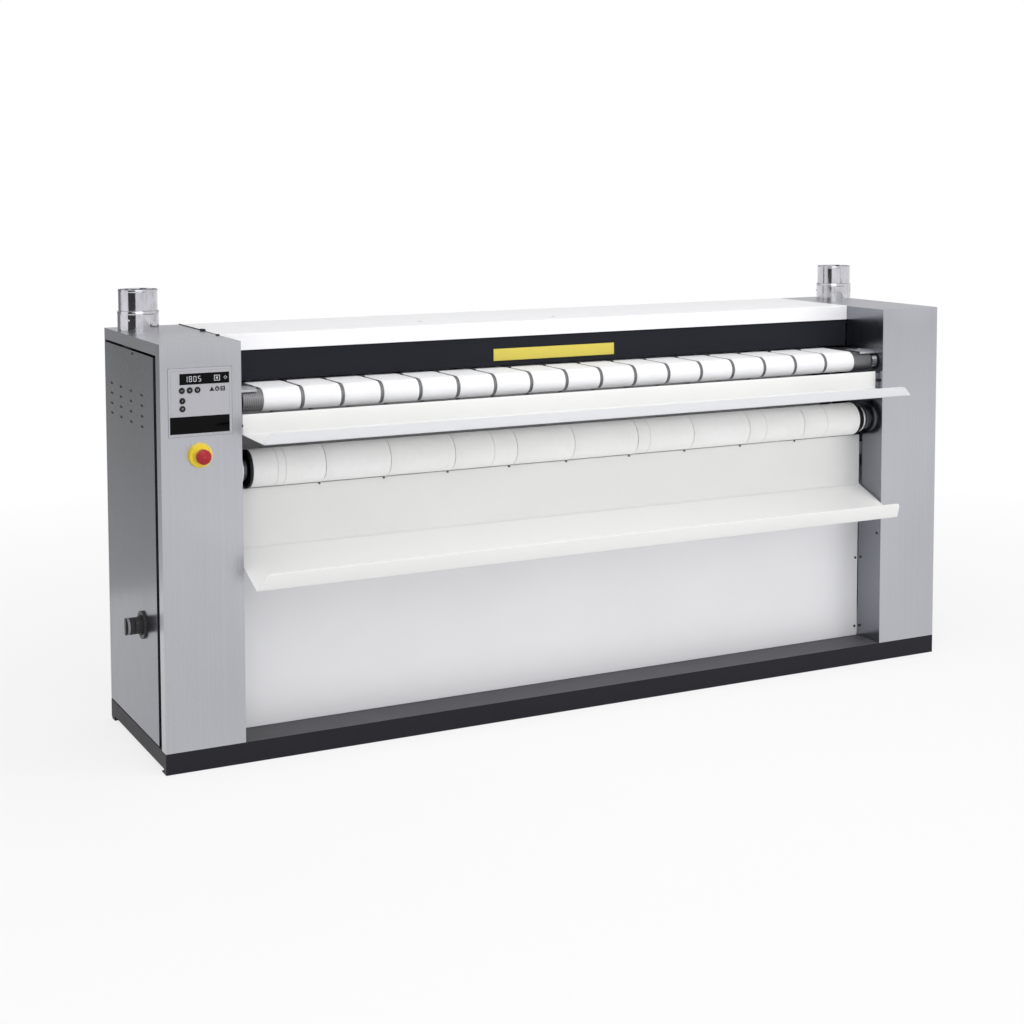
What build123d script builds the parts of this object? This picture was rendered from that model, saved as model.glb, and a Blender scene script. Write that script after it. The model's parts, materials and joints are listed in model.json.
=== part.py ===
from build123d import *
import math
import os

os.makedirs("parts", exist_ok=True)

# Driving dimensions, in millimetres. X runs along the rollers, Y to the back and Z up.
# Depths are measured back from the front face of the two housings, heights from the floor.
machine_width = 2580
housing_width = 220
housing_depth = 560
housing_top = 1140
plinth_height = 57
trough_reach = 150  # how far the feed trough stands in front of the housings
switch_reach = 50  # how far the main switch stands out of the left side
sheet = 1.5  # folded sheet steel
plate = 6  # side plates that carry the rollers
frame_wall = 3  # plinth and cross beams

# The roller train: the guide rollers stand in front of the back, the rest round the cylinder.
cylinder_radius = 150
cylinder_drop = 280  # the cylinder's axis below the housings' top
cylinder_wall = 8
cylinder_margin = 40  # from the inner walls to the cylinder's ends
guide_radius = 20
guide_setback = 45  # the guide rollers' axes in front of the machine's back
lower_guide_drop = 38  # the lower guide roller's underside below the cylinder's
tension_rise = 170  # the tension roller's axis above the cylinder's
nip_radius = 25
nip_lead = 35  # the nip roller's axis in front of the cylinder's
nip_play = 0.4
return_radius = 50
return_depth = 102
return_drop = 80  # the return roller's axis below the cylinder's
ironing_belt_count = 10
ironing_belt_gap = 3
ironing_belt_thickness = 2
ironing_belt_margin = 49  # from the inner walls to the outermost ironing belts

feed_radius = 30
feed_depth = 66
feed_rise = 112  # the front feed roller's axis above the cylinder's
feed_end_margin = 17  # from the inner walls to the roller's ends
rear_feed_radius = 22
rear_feed_lead = 133  # the rear feed roller's axis in front of the cylinder's
feed_belt_count = 17
feed_belt_gap = 11
feed_belt_thickness = 1.5
feed_belt_margin = 69  # from the inner walls to the outermost feed belts

belt_clearance = 0.3
bearing_clearance = 0.05
hole_clearance = 1

journal_radius = 8
feed_journal_radius = 10
return_journal_radius = 12
cylinder_journal_radius = 35
cylinder_journal_bore = 28
bearing_width = 14
journal_overhang = 4  # journals stand this far out of their bearings
journal_end = plate + bearing_width + journal_overhang  # out of the inner wall face

pulley_start = 100  # out of the inner wall face
pulley_width = 25
drive_pulley_radius = 110
feed_pulley_radius = 100
motor_pulley_radius = 40
motor_lead = 65  # the motor's shaft in front of the cylinder's axis
motor_drop = 440  # and below it
timing_belt_thickness = 4
timing_belt_margin = 1  # the timing belts' edges inside their pulleys'
feed_shaft_overhang = 2  # shafts' ends past the pulleys
cylinder_shaft_overhang = 5

cover_depth = 188  # the white top cover's front lip
lip_height = 45
guard_setback = 2  # the black guard behind the lip's face
guard_thickness = 2
guard_rise = 8  # the guard's lower edge above the front feed roller's top
guard_pin_radius = 4
guard_pin_drop = 9  # the pins' axis below the lip

stub_radius = 55
stub_wall = 1
stub_crimp = 2  # the spigots' lower ends are crimped this much to fit their sleeves
stub_rise = 115  # the spigots' and their sleeves' tops above the housings
sleeve_rise = 55
sleeve_wall = 3
stub_inset = 70  # from the housings' outer faces
fan_setback = 105  # the fans' axis in front of the machine's back
fan_drop = 110  # and below the housings' top
fan_radius = 70
fan_width = 100
fan_wall = 2
neck_radius = fan_width / 2 - 2 * fan_wall  # the blower's outlet, up to the spigot

# Reference planes that follow from them.
mid_x = switch_reach / 2
inner_half = machine_width / 2 - housing_width
face_y = (trough_reach - housing_depth) / 2
back_y = face_y + housing_depth
under_top = housing_top - sheet
stub_top = housing_top + stub_rise
sleeve_top = housing_top + sleeve_rise
sides = {"left": -1, "right": 1}

cylinder_axis = (back_y - guide_setback - cylinder_radius, housing_top - cylinder_drop)
feed_axis = (face_y + feed_depth, cylinder_axis[1] + feed_rise)
feed_top = feed_axis[1] + feed_radius
rear_feed_axis = (cylinder_axis[0] - rear_feed_lead, feed_top - rear_feed_radius)
return_axis = (face_y + return_depth, cylinder_axis[1] - return_drop)
nip_gap = ironing_belt_thickness + 2 * belt_clearance + nip_play
nip_reach = cylinder_radius + nip_gap + nip_radius
nip_axis = (cylinder_axis[0] - nip_lead, cylinder_axis[1] + math.sqrt(nip_reach**2 - nip_lead**2))
cylinder_bottom = cylinder_axis[1] - cylinder_radius
lower_guide_axis = (back_y - guide_setback, cylinder_bottom - lower_guide_drop + guide_radius)
tension_axis = (back_y - guide_setback, cylinder_axis[1] + tension_rise)
motor_axis = (cylinder_axis[0] - motor_lead, cylinder_axis[1] - motor_drop)
fan_axis = (back_y - fan_setback, housing_top - fan_drop)


def middle(limits):
    return (limits[0] + limits[1]) / 2


def span(limits):
    return abs(limits[1] - limits[0])


def across(margin):
    """X limits between the inner walls, less a margin at each end."""
    return (mid_x - inner_half + margin, mid_x + inner_half - margin)


def beyond(side, near, far):
    """X limits between two distances out of an inner wall's face, into its housing."""
    return (mid_x + side * (inner_half + near), mid_x + side * (inner_half + far))


def depth(near, far):
    """Y limits between two depths behind the housings' front face."""
    return (face_y + near, face_y + far)


def block(x, y, z, mode=Mode.ADD):
    """A rectangular solid between three pairs of limits."""
    with Locations((middle(x), middle(y), middle(z))):
        Box(span(x), span(y), span(z), mode=mode)


def rod(axis, radius, x, mode=Mode.ADD):
    """A round bar along X on the axis (y, z)."""
    with Locations(Location((middle(x), axis[0], axis[1]), (0, 90, 0))):
        Cylinder(radius, span(x), mode=mode)


def stud(x, z, radius, y, mode=Mode.ADD):
    """A round bar along Y."""
    with Locations(Location((x, middle(y), z), (90, 0, 0))):
        Cylinder(radius, span(y), mode=mode)


def post(x, y, radius, z, mode=Mode.ADD):
    """A round bar along Z."""
    with Locations((x, y, middle(z))):
        Cylinder(radius, span(z), mode=mode)


def spigot_x(side):
    """X of a spigot's axis."""
    return mid_x + side * (machine_width / 2 - stub_inset)


def folded_sheet(points, bend, x, thickness=sheet):
    """A folded sheet along X. The points (depth, z) lie on its face, its wall to their left."""
    with BuildSketch(Plane.YZ.offset(min(x))) as profile:
        with BuildLine():
            FilletPolyline(*[(face_y + d, z) for d, z in points], radius=bend)
            offset(amount=thickness, side=Side.LEFT)
        make_face()
    extrude(profile.sketch, amount=span(x))


def belt_line(pulleys):
    """The closed line of a belt that runs counter-clockwise seen along -X, round pulleys
    given as (y, z, radius, turn), where turn is 1 inside the loop and -1 outside it."""
    leaves, meets = [], []
    for here, ahead in zip(pulleys, pulleys[1:] + pulleys[:1]):
        run_y, run_z = ahead[0] - here[0], ahead[1] - here[1]
        offset_change = ahead[3] * ahead[2] - here[3] * here[2]
        normal = math.atan2(run_z, run_y) + math.acos(offset_change / math.hypot(run_y, run_z))
        for pulley, ends in ((here, leaves), (ahead, meets)):
            reach = -pulley[3] * pulley[2]
            ends.append((pulley[0] + reach * math.cos(normal), pulley[1] + reach * math.sin(normal)))
    for index, (y, z, radius, turn) in enumerate(pulleys):
        start, end = meets[index - 1], leaves[index]
        first = math.atan2(start[1] - z, start[0] - y)
        last = math.atan2(end[1] - z, end[0] - y)
        half = first + turn * ((turn * (last - first)) % (2 * math.pi)) / 2
        ThreePointArc(start, (y + radius * math.cos(half), z + radius * math.sin(half)), end)
        Line(end, meets[index])


def belt(pulleys, thickness, x):
    """A flat belt with a running clearance to its pulleys."""
    faces = []
    for inner in (False, True):
        grown = []
        for y, z, radius, turn in pulleys:
            thick_side = (turn == 1) != inner
            grown.append((y, z, radius + belt_clearance + (thickness if thick_side else 0), turn))
        faces.append(grown)
    with BuildSketch(Plane.YZ.offset(min(x))) as profile:
        for grown, mode in zip(faces, (Mode.ADD, Mode.SUBTRACT)):
            with BuildLine():
                belt_line(grown)
            make_face(mode=mode)
    extrude(profile.sketch, amount=span(x))


# Plinth: a welded frame of folded channel, on its front edge and two rear feet.
rail_lift = 13
front_rail_depth = 130
floor_flange = 40
end_foot = 22
rear_rail_depth = 40
foot_width, foot_depth = 60, 35
foot_edge = 8
wide = (mid_x - machine_width / 2, mid_x + machine_width / 2)
deck = (plinth_height - frame_wall, plinth_height)
with BuildPart() as base_frame:
    block(wide, depth(0, frame_wall), (0, plinth_height))
    block(wide, depth(0, front_rail_depth), deck)
    block(wide, depth(0, floor_flange), (0, frame_wall))
    block(wide, depth(front_rail_depth - frame_wall, front_rail_depth), (rail_lift, plinth_height))
    block(wide, (back_y - rear_rail_depth, back_y), deck)
    block(wide, (back_y - frame_wall, back_y), (rail_lift, plinth_height))
    rail_back = back_y - rear_rail_depth
    block(wide, (rail_back, rail_back + frame_wall), (rail_lift, plinth_height))
    for side in sides.values():
        outer_wall = beyond(side, housing_width - frame_wall, housing_width)
        block(beyond(side, 0, housing_width), (face_y, back_y), deck)
        block(beyond(side, 0, frame_wall), (face_y, back_y), (rail_lift, plinth_height))
        block(outer_wall, (face_y, back_y), (rail_lift, plinth_height))
        block(outer_wall, depth(0, end_foot), (0, plinth_height))
        block(
            beyond(side, housing_width - foot_width, housing_width),
            (back_y - foot_depth, back_y),
            (0, plinth_height),
        )
    floor_edges = base_frame.edges().filter_by(Axis.X).group_by(Axis.Z)[0].sort_by(Axis.Y)
    chamfer(floor_edges[-2:], length=foot_edge)
base_frame.part.label = "base_frame"
export_step(base_frame.part, "parts/base_frame.step")

# Side plates: they carry every roller, with a hole for each shaft.
shaft_holes = [
    (cylinder_axis, cylinder_journal_radius),
    (feed_axis, feed_journal_radius),
    (return_axis, return_journal_radius),
    (rear_feed_axis, journal_radius),
    (nip_axis, journal_radius),
    (lower_guide_axis, journal_radius),
    (tension_axis, journal_radius),
]
guard_face = cover_depth + guard_setback
guard_hinge = (face_y + guard_face + guard_thickness, housing_top - lip_height - guard_pin_drop)
for word, side in sides.items():
    with BuildPart() as side_plate:
        block(beyond(side, 0, plate), (face_y + sheet, back_y - sheet), (plinth_height, under_top))
        for axis, radius in shaft_holes:
            rod(axis, radius + hole_clearance, beyond(side, 0, plate), mode=Mode.SUBTRACT)
        pin_hole = guard_pin_radius + bearing_clearance
        rod(guard_hinge, pin_hole, beyond(side, 0, plate), mode=Mode.SUBTRACT)
    side_plate.part.label = f"{word}_side_plate"
    export_step(side_plate.part, f"parts/{word}_side_plate.step")

# Cross beams: box tubes between the side plates.
beam = 40
front_beam = 30
chute_depth = 107
chute_gap = 6  # the chute's upper edge under the return roller
chute_top = return_axis[1] - return_radius - chute_gap
chute_back = 161
chute_bend = chute_top - chute_back
chute_beam_drop = 64
panel_depth = 115
panel_lap = 57  # the lower panel runs up this far behind the chute
front_panel_top = chute_bend + panel_lap
panel_beam_drop = 80
chute_beam_bottom = chute_top - chute_beam_drop
panel_beam_bottom = front_panel_top - panel_beam_drop
rear_beam_bottom = 200
front_beam_depth = 215
chute_beam_depth = chute_depth + sheet
panel_beam_depth = panel_depth + sheet
rear_beam_depth = housing_depth - sheet - beam
beams = [
    (chute_beam_depth, chute_beam_bottom, beam),
    (panel_beam_depth, panel_beam_bottom, beam),
    (rear_beam_depth, rear_beam_bottom, beam),
    (rear_beam_depth, under_top - beam, beam),
    (front_beam_depth, under_top - front_beam, front_beam),
]
with BuildPart() as cross_beams:
    for start, bottom, size in beams:
        block(across(0), depth(start, start + size), (bottom, bottom + size))
        block(
            across(0),
            depth(start + frame_wall, start + size - frame_wall),
            (bottom + frame_wall, bottom + size - frame_wall),
            mode=Mode.SUBTRACT,
        )
cross_beams.part.label = "cross_beams"
export_step(cross_beams.part, "parts/cross_beams.step")

# Controls on the left housing, placed from its outer face.
panel_left, panel_right = 22, 193
panel_low, panel_high = 896, 1075
panel_plate = 1
panel_corner = 3
key_radius = 8
key_edge = 0.6
key_clearance = 0.3
key_stand = 1.5  # keys stand this far out of the control panel
key_length = 9.5
keys = {
    "left_key": (58, 1017),
    "middle_key": (79, 1017),
    "right_key": (100, 1017),
    "upper_button": (59, 990),
    "lower_button": (59, 969),
}
estop_place = (104, 844)
estop_shank = 11


def from_left(distance):
    """X of a point this far from the left housing's outer face."""
    return mid_x - machine_width / 2 + distance


# Housings: folded stainless shells round each end, open at the side for a cover.
front_strip = 37
recess = 18
recess_width = 30
top_strip = 32
rear_strip = 8
cable_hole_radius = 16
cable_hole_height = 120
side_wall = (housing_width - sheet, housing_width)
shell_z = (plinth_height, housing_top)
strip_bottom = housing_top - top_strip
for word, side in sides.items():
    full_x = beyond(side, 0, housing_width)
    return_x = beyond(side, housing_width - recess, housing_width)
    with BuildPart() as housing:
        block(full_x, depth(0, sheet), shell_z)
        block(full_x, (back_y - sheet, back_y), shell_z)
        block(full_x, (face_y, back_y), (under_top, housing_top))
        block(beyond(side, *side_wall), depth(0, front_strip), shell_z)
        block(return_x, depth(front_strip - sheet, front_strip), shell_z)
        block(
            beyond(side, housing_width - recess - sheet, housing_width - recess),
            depth(front_strip - sheet, front_strip + recess_width),
            (plinth_height, strip_bottom + sheet),
        )
        block(beyond(side, *side_wall), (face_y, back_y), (strip_bottom, housing_top))
        block(return_x, depth(front_strip, housing_depth), (strip_bottom, strip_bottom + sheet))
        block(beyond(side, *side_wall), (back_y - rear_strip, back_y), shell_z)
        outlet = neck_radius - fan_wall
        post(spigot_x(side), fan_axis[0], outlet, (under_top, housing_top), mode=Mode.SUBTRACT)
        if word == "left":
            front_holes = [(*place, key_radius + key_clearance) for place in keys.values()]
            front_holes.append((*estop_place, estop_shank + bearing_clearance))
            for place_x, place_z, radius in front_holes:
                stud(from_left(place_x), place_z, radius, depth(0, sheet), mode=Mode.SUBTRACT)
            stud(
                from_left(housing_width / 2),
                cable_hole_height,
                cable_hole_radius,
                (back_y - sheet, back_y),
                mode=Mode.SUBTRACT,
            )
    housing.part.label = f"{word}_housing"
    export_step(housing.part, f"parts/{word}_housing.step")

# Side covers: lift-off trays with ventilation slots, the left one round the main switch.
cover_front = 62
cover_gap_top = 7
cover_gap_bottom = 4
cover_gap_rear = 2
slot_length, slot_height = 24, 6
slot_depths = (175, 284, 388, 486)
slot_heights = (904, 932, 961, 989)
switch_axis = (face_y + 202, 358)
spindle_radius = 3
cover_y = (face_y + cover_front, back_y - rear_strip - cover_gap_rear)
cover_z = (plinth_height + cover_gap_bottom, strip_bottom - cover_gap_top)
for word, side in sides.items():
    with BuildPart() as side_cover:
        block(beyond(side, housing_width - recess, housing_width), cover_y, cover_z)
        block(
            beyond(side, housing_width - recess, housing_width - sheet),
            (cover_y[0] + sheet, cover_y[1] - sheet),
            (cover_z[0] + sheet, cover_z[1] - sheet),
            mode=Mode.SUBTRACT,
        )
        for slot_depth in slot_depths:
            for slot_z in slot_heights:
                block(
                    beyond(side, *side_wall),
                    depth(slot_depth - slot_length / 2, slot_depth + slot_length / 2),
                    (slot_z - slot_height / 2, slot_z + slot_height / 2),
                    mode=Mode.SUBTRACT,
                )
        if word == "left":
            spindle_hole = spindle_radius + hole_clearance
            rod(switch_axis, spindle_hole, beyond(side, *side_wall), mode=Mode.SUBTRACT)
    side_cover.part.label = f"{word}_side_cover"
    export_step(side_cover.part, f"parts/{word}_side_cover.step")

# Rear panel, with rows of ventilation slots.
vent_columns = 8
vent_rows = 6
vent_length, vent_height = 120, 8
vent_bottom = 320
vent_pitch = 22
panel_edge = 2
with BuildPart() as rear_panel:
    block(across(panel_edge), (back_y - sheet, back_y), (plinth_height, under_top - sheet))
    vent_spacing = span(across(0)) / vent_columns
    for column in range(vent_columns):
        vent_x = across(0)[0] + (column + 0.5) * vent_spacing
        for row in range(vent_rows):
            vent_z = vent_bottom + row * vent_pitch
            block(
                (vent_x - vent_length / 2, vent_x + vent_length / 2),
                (back_y - sheet, back_y),
                (vent_z, vent_z + vent_height),
                mode=Mode.SUBTRACT,
            )
rear_panel.part.label = "rear_panel"
export_step(rear_panel.part, "parts/rear_panel.step")

# Top cover: a white sheet with a deep front lip, on the two upper beams.
with BuildPart() as top_cover:
    block(across(0), (face_y + cover_depth, back_y), (under_top, housing_top))
    block(across(0), depth(cover_depth, cover_depth + sheet), (housing_top - lip_height, housing_top))
    front_edge = top_cover.edges().filter_by(Axis.X).sort_by(Axis.Y)[:4].sort_by(Axis.Z)[-1]
    fillet(front_edge, radius=sheet)
top_cover.part.label = "top_cover"
export_step(top_cover.part, "parts/top_cover.step")

# Hand guard: a black flap hung from two pins, over the feed belts.
guard_margin = 3
guard_gap = 2  # under the lip
guard_flange = 8
guard_shelf = 16
guard_ear = 12  # below the pins' axis
guard_pin_overhang = 2
guard_top = housing_top - lip_height - guard_gap
guard_bottom = feed_top + guard_rise
with BuildPart() as hand_guard:
    guard_x = across(guard_margin)
    shelf_y = depth(guard_face, guard_face + guard_shelf)
    flange_y = depth(guard_face, guard_face + guard_flange)
    block(guard_x, depth(guard_face, guard_face + guard_thickness), (guard_bottom, guard_top))
    block(guard_x, flange_y, (guard_bottom, guard_bottom + guard_thickness))
    block(guard_x, shelf_y, (guard_top - guard_thickness, guard_top))
    for side in sides.values():
        ear_end = -guard_margin - guard_thickness
        block(beyond(side, -guard_margin, ear_end), shelf_y, (guard_hinge[1] - guard_ear, guard_top))
        rod(guard_hinge, guard_pin_radius, beyond(side, ear_end, plate + guard_pin_overhang))
hand_guard.part.label = "hand_guard"
export_step(hand_guard.part, "parts/hand_guard.step")

# Front feed roller, its bearings on the wall and the pulley that drives it.
pulley_x = (pulley_start, pulley_start + pulley_width)
shaft_end = pulley_x[1] + feed_shaft_overhang  # out of the inner wall face
feed_wall = 5
feed_cap = 6
with BuildPart() as feed_roller:
    rod(feed_axis, feed_radius, across(feed_end_margin))
    rod(feed_axis, feed_radius - feed_wall, across(feed_end_margin + feed_cap), mode=Mode.SUBTRACT)
    rod(feed_axis, feed_journal_radius, (across(-shaft_end)[0], across(-journal_end)[1]))
feed_roller.part.label = "feed_roller"
export_step(feed_roller.part, "parts/feed_roller.step")

feed_roller_pulley_radius = feed_pulley_radius * feed_radius / cylinder_radius
with BuildPart() as feed_roller_pulley:
    rod(feed_axis, feed_roller_pulley_radius, beyond(-1, *pulley_x))
    shaft_hole = feed_journal_radius + bearing_clearance
    rod(feed_axis, shaft_hole, beyond(-1, *pulley_x), mode=Mode.SUBTRACT)
feed_roller_pulley.part.label = "feed_roller_pulley"
export_step(feed_roller_pulley.part, "parts/feed_roller_pulley.step")

# The rollers inside the machine: plain steel, one journal through each side plate.
roller_margin = 12
inner_rollers = {
    "rear_feed_roller": (rear_feed_axis, rear_feed_radius),
    "nip_roller": (nip_axis, nip_radius),
    "lower_rear_roller": (lower_guide_axis, guide_radius),
    "tension_roller": (tension_axis, guide_radius),
}
for name, (axis, radius) in inner_rollers.items():
    with BuildPart() as inner_roller:
        rod(axis, radius, across(roller_margin))
        rod(axis, journal_radius, across(-journal_end))
    inner_roller.part.label = name
    export_step(inner_roller.part, f"parts/{name}.step")

feed_bearing_radius = 25
feed_bearing_width = 9
bearing_radius = 20
with BuildPart() as roller_bearings:
    for side in sides.values():
        feed_bearing_x = beyond(side, -feed_bearing_width, 0)
        rod(feed_axis, feed_bearing_radius, feed_bearing_x)
        rod(feed_axis, feed_journal_radius + bearing_clearance, feed_bearing_x, mode=Mode.SUBTRACT)
        bearing_x = beyond(side, plate, plate + bearing_width)
        for axis, _ in inner_rollers.values():
            rod(axis, bearing_radius, bearing_x)
            rod(axis, journal_radius + bearing_clearance, bearing_x, mode=Mode.SUBTRACT)
roller_bearings.part.label = "roller_bearings"
export_step(roller_bearings.part, "parts/roller_bearings.step")

# Return roller at the lower front: a tube between two black discs, in cups on the walls.
return_wall = 4
disc_radius = return_radius + 1
disc_width = 8
cup_radius = 38
cup_wall = 4
cup_base = 8
cup_gap = 3
cup_length = ironing_belt_margin - disc_width - cup_gap
with BuildPart() as return_roller:
    rod(return_axis, return_radius, across(ironing_belt_margin))
    rod(return_axis, return_radius - return_wall, across(ironing_belt_margin), mode=Mode.SUBTRACT)
return_roller.part.label = "return_roller"
export_step(return_roller.part, "parts/return_roller.step")

with BuildPart() as return_roller_discs:
    for side in sides.values():
        disc_x = beyond(side, -ironing_belt_margin, disc_width - ironing_belt_margin)
        rod(return_axis, disc_radius, disc_x)
        rod(return_axis, return_journal_radius, beyond(side, -ironing_belt_margin, journal_end))
return_roller_discs.part.label = "return_roller_discs"
export_step(return_roller_discs.part, "parts/return_roller_discs.step")

with BuildPart() as return_roller_bearings:
    for side in sides.values():
        rod(return_axis, cup_radius, beyond(side, -cup_length, 0))
        cup_hole = return_journal_radius + bearing_clearance
        rod(return_axis, cup_radius - cup_wall, beyond(side, -cup_length, -cup_base), mode=Mode.SUBTRACT)
        rod(return_axis, cup_hole, beyond(side, -cup_base, 0), mode=Mode.SUBTRACT)
return_roller_bearings.part.label = "return_roller_bearings"
export_step(return_roller_bearings.part, "parts/return_roller_bearings.step")

# Heated cylinder: a polished tube between two flanges with hollow journals.
flange_width = 10
cylinder_end = pulley_x[1] + cylinder_shaft_overhang  # out of the inner wall faces
with BuildPart() as heated_cylinder:
    rod(cylinder_axis, cylinder_radius, across(cylinder_margin))
    shell_bore = cylinder_radius - cylinder_wall
    rod(cylinder_axis, shell_bore, across(cylinder_margin), mode=Mode.SUBTRACT)
heated_cylinder.part.label = "heated_cylinder"
export_step(heated_cylinder.part, "parts/heated_cylinder.step")

with BuildPart() as cylinder_flanges:
    for side in sides.values():
        flange_x = beyond(side, -cylinder_margin, flange_width - cylinder_margin)
        journal_x = beyond(side, -cylinder_margin, cylinder_end)
        rod(cylinder_axis, cylinder_radius, flange_x)
        rod(cylinder_axis, cylinder_journal_radius, journal_x)
        rod(cylinder_axis, cylinder_journal_bore, journal_x, mode=Mode.SUBTRACT)
cylinder_flanges.part.label = "cylinder_flanges"
export_step(cylinder_flanges.part, "parts/cylinder_flanges.step")

cylinder_bearing_radius = 60
cylinder_bearing_end = 40
with BuildPart() as cylinder_bearings:
    for side in sides.values():
        bearing_x = beyond(side, plate, cylinder_bearing_end)
        rod(cylinder_axis, cylinder_bearing_radius, bearing_x)
        rod(cylinder_axis, cylinder_journal_radius + bearing_clearance, bearing_x, mode=Mode.SUBTRACT)
cylinder_bearings.part.label = "cylinder_bearings"
export_step(cylinder_bearings.part, "parts/cylinder_bearings.step")

pulley_rim = 12
pulley_hub = 50
pulley_web = 8
with BuildPart() as cylinder_pulleys:
    for side, radius in ((-1, feed_pulley_radius), (1, drive_pulley_radius)):
        wheel_x = beyond(side, *pulley_x)
        dish_x = beyond(side, pulley_x[0] + pulley_web, pulley_x[1])
        rod(cylinder_axis, radius, wheel_x)
        rod(cylinder_axis, radius - pulley_rim, dish_x, mode=Mode.SUBTRACT)
        rod(cylinder_axis, pulley_hub, wheel_x)
        rod(cylinder_axis, cylinder_journal_radius + bearing_clearance, wheel_x, mode=Mode.SUBTRACT)
cylinder_pulleys.part.label = "cylinder_pulleys"
export_step(cylinder_pulleys.part, "parts/cylinder_pulleys.step")

# Electric heater: rods in five spiders on a still tube through the hollow journals.
carrier_radius = 18
carrier_wall = 3
spider_radius = 120
spider_count = 5
element_circle = 100
element_radius = 6
element_count = 6
element_margin = 90
spider_margin = 110
bracket_width = 30
bracket_wall = 4
bracket_base = 6
bracket_start = cylinder_end + journal_overhang  # a gap past the journals' ends
bracket_end = bracket_start + bracket_wall
bracket_drop = 125
bracket_foot = cylinder_axis[1] - bracket_drop


def element_places():
    """Centres (y, z) of the heating elements, on a circle round the cylinder's axis."""
    turns = [2 * math.pi * index / element_count for index in range(element_count)]
    return [
        (
            cylinder_axis[0] + element_circle * math.cos(turn),
            cylinder_axis[1] + element_circle * math.sin(turn),
        )
        for turn in turns
    ]


with BuildPart() as heater_carrier:
    rod(cylinder_axis, carrier_radius, across(-bracket_start))
    spider_pitch = span(across(spider_margin)) / (spider_count - 1)
    for index in range(spider_count):
        spider_x = across(spider_margin)[0] + index * spider_pitch
        rod(cylinder_axis, spider_radius, (spider_x - frame_wall / 2, spider_x + frame_wall / 2))
    for place in element_places():
        rod(place, element_radius + bearing_clearance, across(element_margin), mode=Mode.SUBTRACT)
    for side in sides.values():
        bracket_y = (cylinder_axis[0] - bracket_width / 2, cylinder_axis[0] + bracket_width / 2)
        upright_z = (bracket_foot, cylinder_axis[1] + carrier_radius)
        block(beyond(side, bracket_start, bracket_end), bracket_y, upright_z)
        block(beyond(side, plate, bracket_end), bracket_y, (bracket_foot, bracket_foot + bracket_base))
    rod(cylinder_axis, carrier_radius - carrier_wall, across(-bracket_end), mode=Mode.SUBTRACT)
heater_carrier.part.label = "heater_carrier"
export_step(heater_carrier.part, "parts/heater_carrier.step")

with BuildPart() as heating_elements:
    for place in element_places():
        rod(place, element_radius, across(element_margin))
heating_elements.part.label = "heating_elements"
export_step(heating_elements.part, "parts/heating_elements.step")

# Belts: narrow ones carry linen into the nip, wide ones hold it round the cylinder.
feed_pulleys = [(*feed_axis, feed_radius, 1), (*rear_feed_axis, rear_feed_radius, 1)]
with BuildPart() as feed_belts:
    feed_run = across(feed_belt_margin)
    feed_belt_pitch = (span(feed_run) + feed_belt_gap) / feed_belt_count
    for index in range(feed_belt_count):
        start = feed_run[0] + index * feed_belt_pitch
        belt(feed_pulleys, feed_belt_thickness, (start, start + feed_belt_pitch - feed_belt_gap))
feed_belts.part.label = "feed_belts"
export_step(feed_belts.part, "parts/feed_belts.step")

ironing_pulleys = [
    (*return_axis, return_radius, 1),
    (*lower_guide_axis, guide_radius, 1),
    (*tension_axis, guide_radius, 1),
    (*nip_axis, nip_radius, 1),
    (*cylinder_axis, cylinder_radius, -1),
]
with BuildPart() as ironing_belts:
    ironing_run = across(ironing_belt_margin)
    ironing_belt_pitch = (span(ironing_run) + ironing_belt_gap) / ironing_belt_count
    for index in range(ironing_belt_count):
        start = ironing_run[0] + index * ironing_belt_pitch
        run_x = (start, start + ironing_belt_pitch - ironing_belt_gap)
        belt(ironing_pulleys, ironing_belt_thickness, run_x)
ironing_belts.part.label = "ironing_belts"
export_step(ironing_belts.part, "parts/ironing_belts.step")

# Feed bed: a plate under the feed belts' upper run, between the side plates.
bed_gap = 0.5
bed_rear_gap = 4  # to the rear feed roller
bed_front = feed_depth + feed_radius
bed_rear = rear_feed_axis[0] - rear_feed_radius - bed_rear_gap - face_y
bed_flange = 13
bed_fold = 2
bed_top = feed_top + belt_clearance - bed_gap
with BuildPart() as feed_bed_plate:
    folded_sheet(
        [
            (bed_rear, bed_top - bed_flange),
            (bed_rear, bed_top),
            (bed_front, bed_top),
            (bed_front, bed_top - bed_flange),
        ],
        bed_fold,
        across(0),
    )
feed_bed_plate.part.label = "feed_bed_plate"
export_step(feed_bed_plate.part, "parts/feed_bed_plate.step")

# Small brackets over the bare ends of the front feed roller.
end_bracket_width = 58
end_bracket_gap = 1.5  # over the roller
end_bracket_front, end_bracket_rear = 14, 50  # from the roller's axis
bracket_z = feed_top + end_bracket_gap
with BuildPart() as belt_end_brackets:
    for side in sides.values():
        block(
            beyond(side, -end_bracket_width, 0),
            depth(feed_depth - end_bracket_front, feed_depth + end_bracket_rear),
            (bracket_z, bracket_z + sheet),
        )
belt_end_brackets.part.label = "belt_end_brackets"
export_step(belt_end_brackets.part, "parts/belt_end_brackets.step")

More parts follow.
